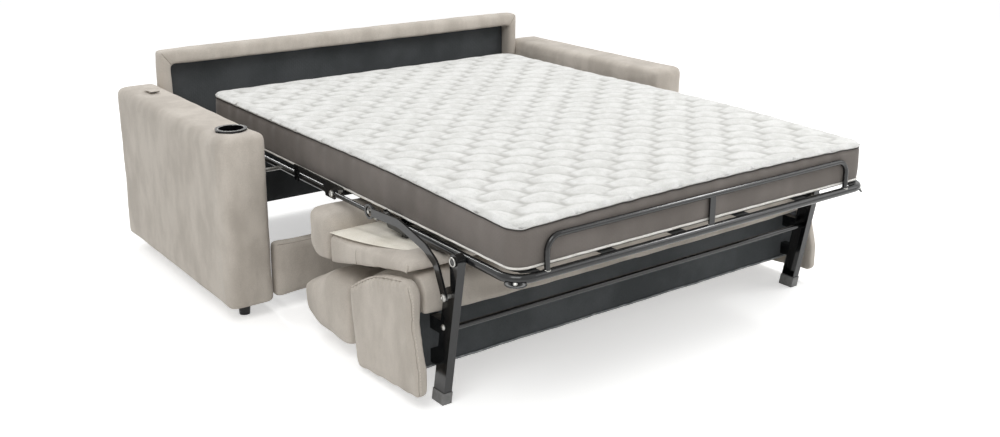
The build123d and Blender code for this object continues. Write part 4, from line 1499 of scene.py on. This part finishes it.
@dataclass
class Fittings(Group):
    """Rivet heads, bolts, welds and flattened tube ends of the folding frame.

    Turned fittings have profiles of (radius, height), with a share of a hexagon where they have flats.

    Attributes:
        pins: Pins whose outer ends get a riveted head, and the bodies that they ride on.
        pin_head: Profile of such a head, with its radii as shares of the pin's.
        rim: Profile of the ring round a leg's pivot.
        cap: Profile of the cap in that ring.
        bolt: Profile of a bolt with its washer.
        rivet: Profile of a rivet.
        leg_bolt: Height and distance behind the leg pivot of the bolt in each leg, in millimetres.
        lug_mm: Half length, half width and hole of a flattened tube end.
        lug_rings: Its section, as shares of its width past the hole and heights.
        lug_inset: Its middle's place from the foot tube's side, front and underside, in millimetres.
    """

    pins: tuple[tuple[str, Body], ...] = (
        ("link_pins", Body.MIDDLE), ("fold_pins", Body.MIDDLE), ("head_hinge_pins", Body.MIDDLE),
        ("foot_hinge_pins", Body.FOOT), ("lever_pins", Body.SEAT_BACK))
    pin_head: tuple[Pair, ...] = (
        (1, -0.4), (0.97, 0.6), (0.8, 1.9), (0.5, 2.7), (0.34, 2.8), (0.3, 2.0), (0.08, 1.8))
    rim: tuple[Pair, ...] = ((14, -1), (14, 2.4), (13, 3.6), (11, 3.8), (10.4, 2.6))
    cap: tuple[Pair, ...] = ((10.6, -1), (10.6, 2.4), (6, 3.0), (0.6, 3.2))
    bolt: tuple[tuple[float, ...], ...] = (
        (9, -0.3), (9, 1.2), (6.2, 1.3, 1), (6.2, 4.4, 1), (5.2, 5.2, 0.4), (2.5, 5.5))
    rivet: tuple[Pair, ...] = ((6.5, 0), (6.5, 3.2), (5, 4.4), (0.6, 4.8))
    leg_bolt: Pair = (239.0, 56.0)
    lug_mm: Triple = (30.0, 12.0, 4.0)
    lug_rings: tuple[Pair, ...] = ((1.0, -2.0), (1.0, 1.6), (0.86, 2.6), (0.0, 2.2), (0.0, -2.0))
    lug_inset: Triple = (24.0, 24.0, 1.5)

    def build(self) -> None:
        """Make the fittings."""
        for node, body in self.pins:
            heads = [self.head(low, high) for low, high in islands(node)]
            hang(joined(f"{node}_heads", heads), self.finishes.zinc, Slot.ZINC, body)
        self.legs()
        self.foot_corners()
        self.welds()
        self.cup_rim_highlight()

    def outer_end(self, low: np.ndarray, high: np.ndarray) -> tuple[np.ndarray, Vector]:
        """Find a pin's outer end.

        Args:
            low: Lowest corner of the pin.
            high: Its highest corner.

        Returns:
            Middle of that end, and the direction out of it.
        """
        middle = (low + high) / 2
        side = math.copysign(1.0, middle[0])
        middle[0] = high[0] if side > 0 else low[0]
        return middle, Vector((side, 0, 0))

    def head(self, low: np.ndarray, high: np.ndarray) -> Piece:
        """A riveted head on the outer end of a pin.

        Args:
            low: Lowest corner of the pin.
            high: Its highest corner.

        Returns:
            The head.
        """
        radius = (high[1] - low[1]) / 2 / MM
        profile = [(radius * share, height) for share, height in self.pin_head]
        return turned("head", profile, *self.outer_end(low, high))

    def legs(self) -> None:
        """Cap the leg pivots and bolt the back's brackets to the legs."""
        height, behind = self.leg_bolt
        rims, caps, bolts = [], [], []
        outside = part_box("legs")[1].x
        for low, high in islands("leg_pivot_pins"):
            end, out = self.outer_end(low, high)
            rims.append(turned("rim", self.rim, end, out))
            caps.append(turned("cap", self.cap, end, out))
            place = (out.x * outside, end[1] + behind * MM, height * MM)
            bolts.append(turned("bolt", self.bolt, place, out))
        hang(joined("leg_pivot_rims", rims), self.finishes.zinc, Slot.ZINC, Body.FOOT)
        hang(joined("leg_pivot_caps", caps), self.finishes.enamel, Slot.ENAMEL, Body.FOOT)
        hang(joined("leg_bolts", bolts), self.finishes.zinc, Slot.ZINC, Body.SEAT_BACK)

    def foot_corners(self) -> None:
        """Bolt a flattened tube end under each corner of the foot tube."""
        low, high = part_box("foot_end_tube")
        half_long, half_wide, hole = self.lug_mm
        inset_x, inset_y, inset_z = (v * MM for v in self.lug_inset)
        turns = circle(32)
        lugs, rivets = [], []
        for side in (-1.0, 1.0):
            centre = np.array([side * (high.x - inset_x), low.y + inset_y, low.z + inset_z])
            long_way = np.array([-side, -1.0, 0.0]) / math.sqrt(2)
            up = Vector((side * 0.5, -0.5, 0.7)).normalized()
            wide_way = np.cross(np.array(up), long_way)
            rings = []
            for reach, height in self.lug_rings:
                a = (hole + (half_long - hole) * reach) * MM * np.cos(turns)
                b = (hole + (half_wide - hole) * reach) * MM * np.sin(turns)
                rings.append(centre + np.outer(a, long_way) + np.outer(b, wide_way)
                             + height * MM * np.array(up))
            lugs.append(loft("lug", np.stack(rings), closed=True))
            rivets.append(turned("rivet", self.rivet, centre, up))
        hang(joined("foot_tube_lugs", lugs), self.finishes.enamel, Slot.ENAMEL, Body.FOOT)
        hang(joined("foot_tube_rivets", rivets), self.finishes.zinc, Slot.ZINC, Body.FOOT)

    def welds(self) -> None:
        """Run weld beads round the feet of the rail's posts and its strut."""
        bead_mm, clear, sunk, dip = 1.9, 1.0 * MM, 0.6 * MM, 3.0 * MM
        ripple, ripples = 0.5 * MM, 9
        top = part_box("foot_end_tube")[1].z
        turns = circle(28)
        level = top - sunk - dip * np.abs(np.sin(turns)) + ripple * np.sin(ripples * turns)
        beads = []
        for low, high in islands("foot_rail_posts") + islands("foot_rail_strut"):
            middle, reach = (low + high) / 2, (high - low) / 2 + clear
            ring = np.stack([middle[0] + reach[0] * np.cos(turns), middle[1] + reach[1] * np.sin(turns),
                             level], 1)
            beads.append(tube("bead", ring, bead_mm, closed=True))
        hang(joined("foot_rail_welds", beads), self.finishes.zinc, Slot.ZINC, Body.FOOT)

    def cup_rim_highlight(self) -> None:
        """Lay a slim polished ring in the cup holder's rim, as a painted highlight along its inner edge."""
        ring_mm, inset, sunk = 0.6, 8 * MM, 0.2 * MM
        low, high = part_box("cup_holder")
        turns = circle(72)
        reach = (high.x - low.x) / 2 - inset
        ring = np.stack([(low.x + high.x) / 2 + reach * np.cos(turns),
                         (low.y + high.y) / 2 + reach * np.sin(turns), np.full(len(turns), high.z - sunk)], 1)
        hang(tube("cup_holder_rim_highlight", ring, ring_mm, closed=True), self.finishes.zinc, Slot.ZINC, Body.SOFA)


# Stage


@dataclass
class Studio:
    """Pale floor, soft lamps and the camera.

    Attributes:
        camera_place: Where the camera stands.
        turn_deg: Its turn from straight ahead, which is negative to the right.
        pitch_deg: How far it looks down.
        lens_mm: Its focal length on a sensor 36 mm wide.
        shift_up: Shift of the picture, as a share of its width.
        floor_half: Half the floor's side.
        floor_seen: Glow of the floor for the camera and in a gloss.
        room_lit: Light of the room.
        room_seen: What the camera and a gloss see of it.
        lamps: Each lamp's name, place, target, sides and power in watts.
    """

    camera_place: Triple = (-2.3107, -3.1682, 1.5141)
    turn_deg: float = -36.32
    pitch_deg: float = 16.14
    lens_mm: float = 40.86
    shift_up: float = -0.05
    floor_half: float = 30.0
    floor_seen: float = 0.5
    room_lit: float = 0.52
    room_seen: float = 1.0
    lamps: tuple[tuple[str, Triple, Triple, Pair, float], ...] = (
        ("key", (-2.8, -2.4, 4.2), (0.0, -0.2, 0.4), (2.6, 2.6), 80.0),
        ("fill", (3.4, -3.2, 2.6), (0.2, -0.4, 0.4), (3.0, 3.0), 38.0),
        ("right_strip", (2.8, -1.0, 3.4), (0.4, -0.9, 0.4), (3.0, 0.4), 50.0),
        ("rear_strip", (-0.7, 3.2, 3.4), (-0.6, 0.0, 0.4), (0.4, 3.0), 50.0))

    def build(self) -> None:
        """Set up the stage."""
        self.floor()
        self.room()
        self.light()
        self.camera()
        bpy.context.scene.view_settings.view_transform = "Standard"

    def camera(self) -> None:
        """Stand the camera where the photo was taken from."""
        camera = bpy.data.cameras.new("camera")
        camera.sensor_width = 36.0
        camera.lens = self.lens_mm
        camera.shift_y = self.shift_up
        camera.clip_end = 200.0
        stand = bpy.data.objects.new("camera", camera)
        stand.location = self.camera_place
        stand.rotation_euler = (math.radians(90 - self.pitch_deg), 0, math.radians(self.turn_deg))
        bpy.context.scene.collection.objects.link(stand)
        bpy.context.scene.camera = stand

    def shown(self, tree: Tree, lit: float, seen: float) -> Socket:
        """A strength that is one number for light and another for what the camera or a gloss sees.

        Args:
            tree: The node tree of the floor or the room.
            lit: Strength for all other rays.
            seen: Strength for rays from the camera, a gloss or a clear body.

        Returns:
            The strength.
        """
        path = add(tree, "ShaderNodeLightPath").outputs
        looks = add(tree, "ShaderNodeMath", {0: path["Is Camera Ray"], 1: path["Is Glossy Ray"]},
                    operation="ADD")
        total = add(tree, "ShaderNodeMath", {0: looks.outputs[0], 1: path["Is Transmission Ray"]},
                    operation="ADD", use_clamp=True)
        return mapped(tree, total.outputs[0], (0, 1), (lit, seen))

    def floor(self) -> None:
        """Lay the pale floor, which shows white and keeps the shadow."""
        half = self.floor_half
        corners = [(-half, -half, 0), (half, -half, 0), (half, half, 0), (-half, half, 0)]
        floor = from_lists("studio_floor", np.array(corners), [[0, 1, 2, 3]])
        material = bpy.data.materials.new("pale_studio_floor")
        material.use_nodes = True
        tree = material.node_tree
        fill(tree, tree.nodes["Principled BSDF"], {
            "Base Color": linear("#F4F4F3"), "Roughness": 0.9, "Emission Color": linear("#FFFFFF"),
            "Emission Strength": self.shown(tree, 0.0, self.floor_seen)})
        floor.data.materials.append(material)

    def room(self) -> None:
        """Set the light of the room."""
        world = bpy.data.worlds.new("studio")
        world.use_nodes = True
        tree = world.node_tree
        fill(tree, tree.nodes["Background"], {
            "Color": linear("#FDFDFC"), "Strength": self.shown(tree, self.room_lit, self.room_seen)})
        bpy.context.scene.world = world

    def light(self) -> None:
        """Hang the soft lamps."""
        for name, place, target, size, power in self.lamps:
            lamp = bpy.data.lights.new(name, "AREA")
            lamp.shape = "RECTANGLE"
            lamp.size, lamp.size_y = size
            lamp.energy = power
            holder = bpy.data.objects.new(name, lamp)
            holder.location = place
            way = Vector(target) - Vector(place)
            holder.rotation_euler = way.to_track_quat("-Z", "Y").to_euler()
            bpy.context.scene.collection.objects.link(holder)


# The sofa's padded pieces


def upright(x: float, places: Sequence[Pair]) -> list[Triple]:
    """A line on a side face, from its places along Y and Z."""
    return [(x, y, z) for y, z in places]


def mitres() -> list[Seam]:
    """Seams across the corners of the sofa's back.

    Returns:
        The seams.
    """
    low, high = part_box("back_top_rail")
    panel_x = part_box("back_panel")[1].x
    return [Seam([(side * panel_x, low.y, low.z), (side * high.x, low.y, high.z)], depth_mm=2.5, width_mm=6)
            for side in (-1, 1)]


def plinth_ridge() -> Seam:
    """The seam along the plinth's upper edge.

    Returns:
        The seam.
    """
    low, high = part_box("plinth")
    inset, below = 20 * MM, 8 * MM
    y, z = low.y, high.z - below
    return Seam([(low.x + inset, y, z), (high.x - inset, y, z)], depth_mm=2.0, width_mm=6)


def seat_seams() -> list[Seam]:
    """Upright seams on both sides of the seat, at its end and further back.

    Returns:
        The seams.
    """
    low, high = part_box("seat_cushion")
    end, back = low.y + 5 * MM, low.y + 300 * MM
    end_foot, end_top, back_foot, back_top = (high.z - below_mm * MM for below_mm in (90, 10, 115, 50))
    seams = []
    for edge in (-high.x, high.x):
        seams.append(Seam(upright(edge, [(end, end_foot), (end, end_top)]), topstitched=True))
        seams.append(Seam(upright(edge, [(back, back_foot), (back, back_top)]), depth_mm=2.0, width_mm=6))
    return seams


def wing_seams() -> list[Seam]:
    """A stitched seam along each wing's front, and a gathered one over its brow.

    Returns:
        The seams.
    """
    low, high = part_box("back_wings")
    brow, toe = low.y + 55 * MM, low.y + 12 * MM
    front = [(brow, high.z - 20 * MM), (brow - 14 * MM, high.z - 60 * MM),
             (low.y + 40 * MM, high.z - 140 * MM), (toe, low.z + 110 * MM), (toe, low.z + 40 * MM)]
    crest = [(high.y - 12 * MM, high.z - 125 * MM), (high.y - 145 * MM, high.z - 46 * MM),
             (brow + 30 * MM, high.z - 10 * MM)]
    seams = []
    for edge in (-high.x, high.x):
        seams.append(Seam(upright(edge, front), topstitched=True))
        seams.append(Seam(upright(edge, crest), depth_mm=2.5, width_mm=7, gather_mm=2.4, gather_pitch_mm=22))
    return seams


def upholstery(finishes: Finishes) -> list[Upholstery]:
    """Every padded velvet piece, with its seams.

    Args:
        finishes: The materials.

    Returns:
        The pieces, not yet built.
    """
    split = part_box("seat_front_roll")[0].y
    rail = (Pattern("back_top_rail"), Pattern("back_stiles"), Pattern("back_stiles", (0, 0, 12)))
    seat = (Pattern("seat_cushion", ahead=split), Pattern("seat_cushion", (0, 0, -8), ahead=split),
            Pattern("seat_board"))
    roll = (Pattern("seat_front_roll"), Pattern("seat_front_roll", (0, 0, -16)),
            Pattern("seat_cushion", behind=split))
    head = (Pattern("head_roll"), Pattern("head_roll", (0, 0, -34)))
    pieces = [
        Upholstery(finishes, "back_top_rail", Body.SOFA, voxel_mm=8, slack_mm=2, cap_mm=5, pressure=3, ease=3,
                   seams=mitres(), patterns=rail, also=("back_stiles",)),
        Upholstery(finishes, "plinth", Body.SOFA, voxel_mm=11, slack_mm=3, cap_mm=6, pressure=3,
                   seams=[plinth_ridge()]),
        Upholstery(finishes, "seat_cushion", Body.FOOT, voxel_mm=12, slack_mm=6, cap_mm=6, wrinkle_mm=1.2,
                   seams=seat_seams(), patterns=seat),
        Upholstery(finishes, "seat_front_roll", Body.FOOT, voxel_mm=11, wrinkle_mm=1.6, patterns=roll),
        Upholstery(finishes, "back_cushion", Body.SEAT_BACK, voxel_mm=13, slack_mm=5, cap_mm=9,
                   wrinkle_mm=1.6),
        Upholstery(finishes, "back_wings", Body.SEAT_BACK, voxel_mm=7, slack_mm=3, cap_mm=6, wrinkle_mm=1.2,
                   seams=wing_seams()),
        Upholstery(finishes, "head_roll", Body.SEAT_BACK, voxel_mm=12, slack_mm=5, cap_mm=9, wrinkle_mm=2.0,
                   patterns=head),
    ]
    for node in ("arm_left", "arm_right"):
        low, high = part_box(node)
        edge = low.x if node == "arm_left" else high.x
        foot, top = low.z + 6 * MM, high.z - 30 * MM
        seam = Seam(upright(edge, [(high.y, foot), (high.y, top)]), depth_mm=2.5)
        pieces.append(Upholstery(finishes, node, Body.SOFA, voxel_mm=9, slack_mm=1.5, cap_mm=5, pressure=3,
                                 wrinkle_mm=1.0, wrinkle_size_mm=150, ease=1, seams=[seam]))
    return pieces


def main() -> None:
    """Build the sofa bed's looks in order."""
    logging.basicConfig(level=logging.INFO, format="%(name)s %(message)s")
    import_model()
    finishes = Finishes()
    for group in (FoldingFrame, Fittings, Mattress, Linings, Webbing, PullTab):
        group(finishes).build()
        LOG.info("%s built", group.__name__)
    for padding in upholstery(finishes):
        padding.build()
    Studio().build()


if __name__ == "__main__":
    main()
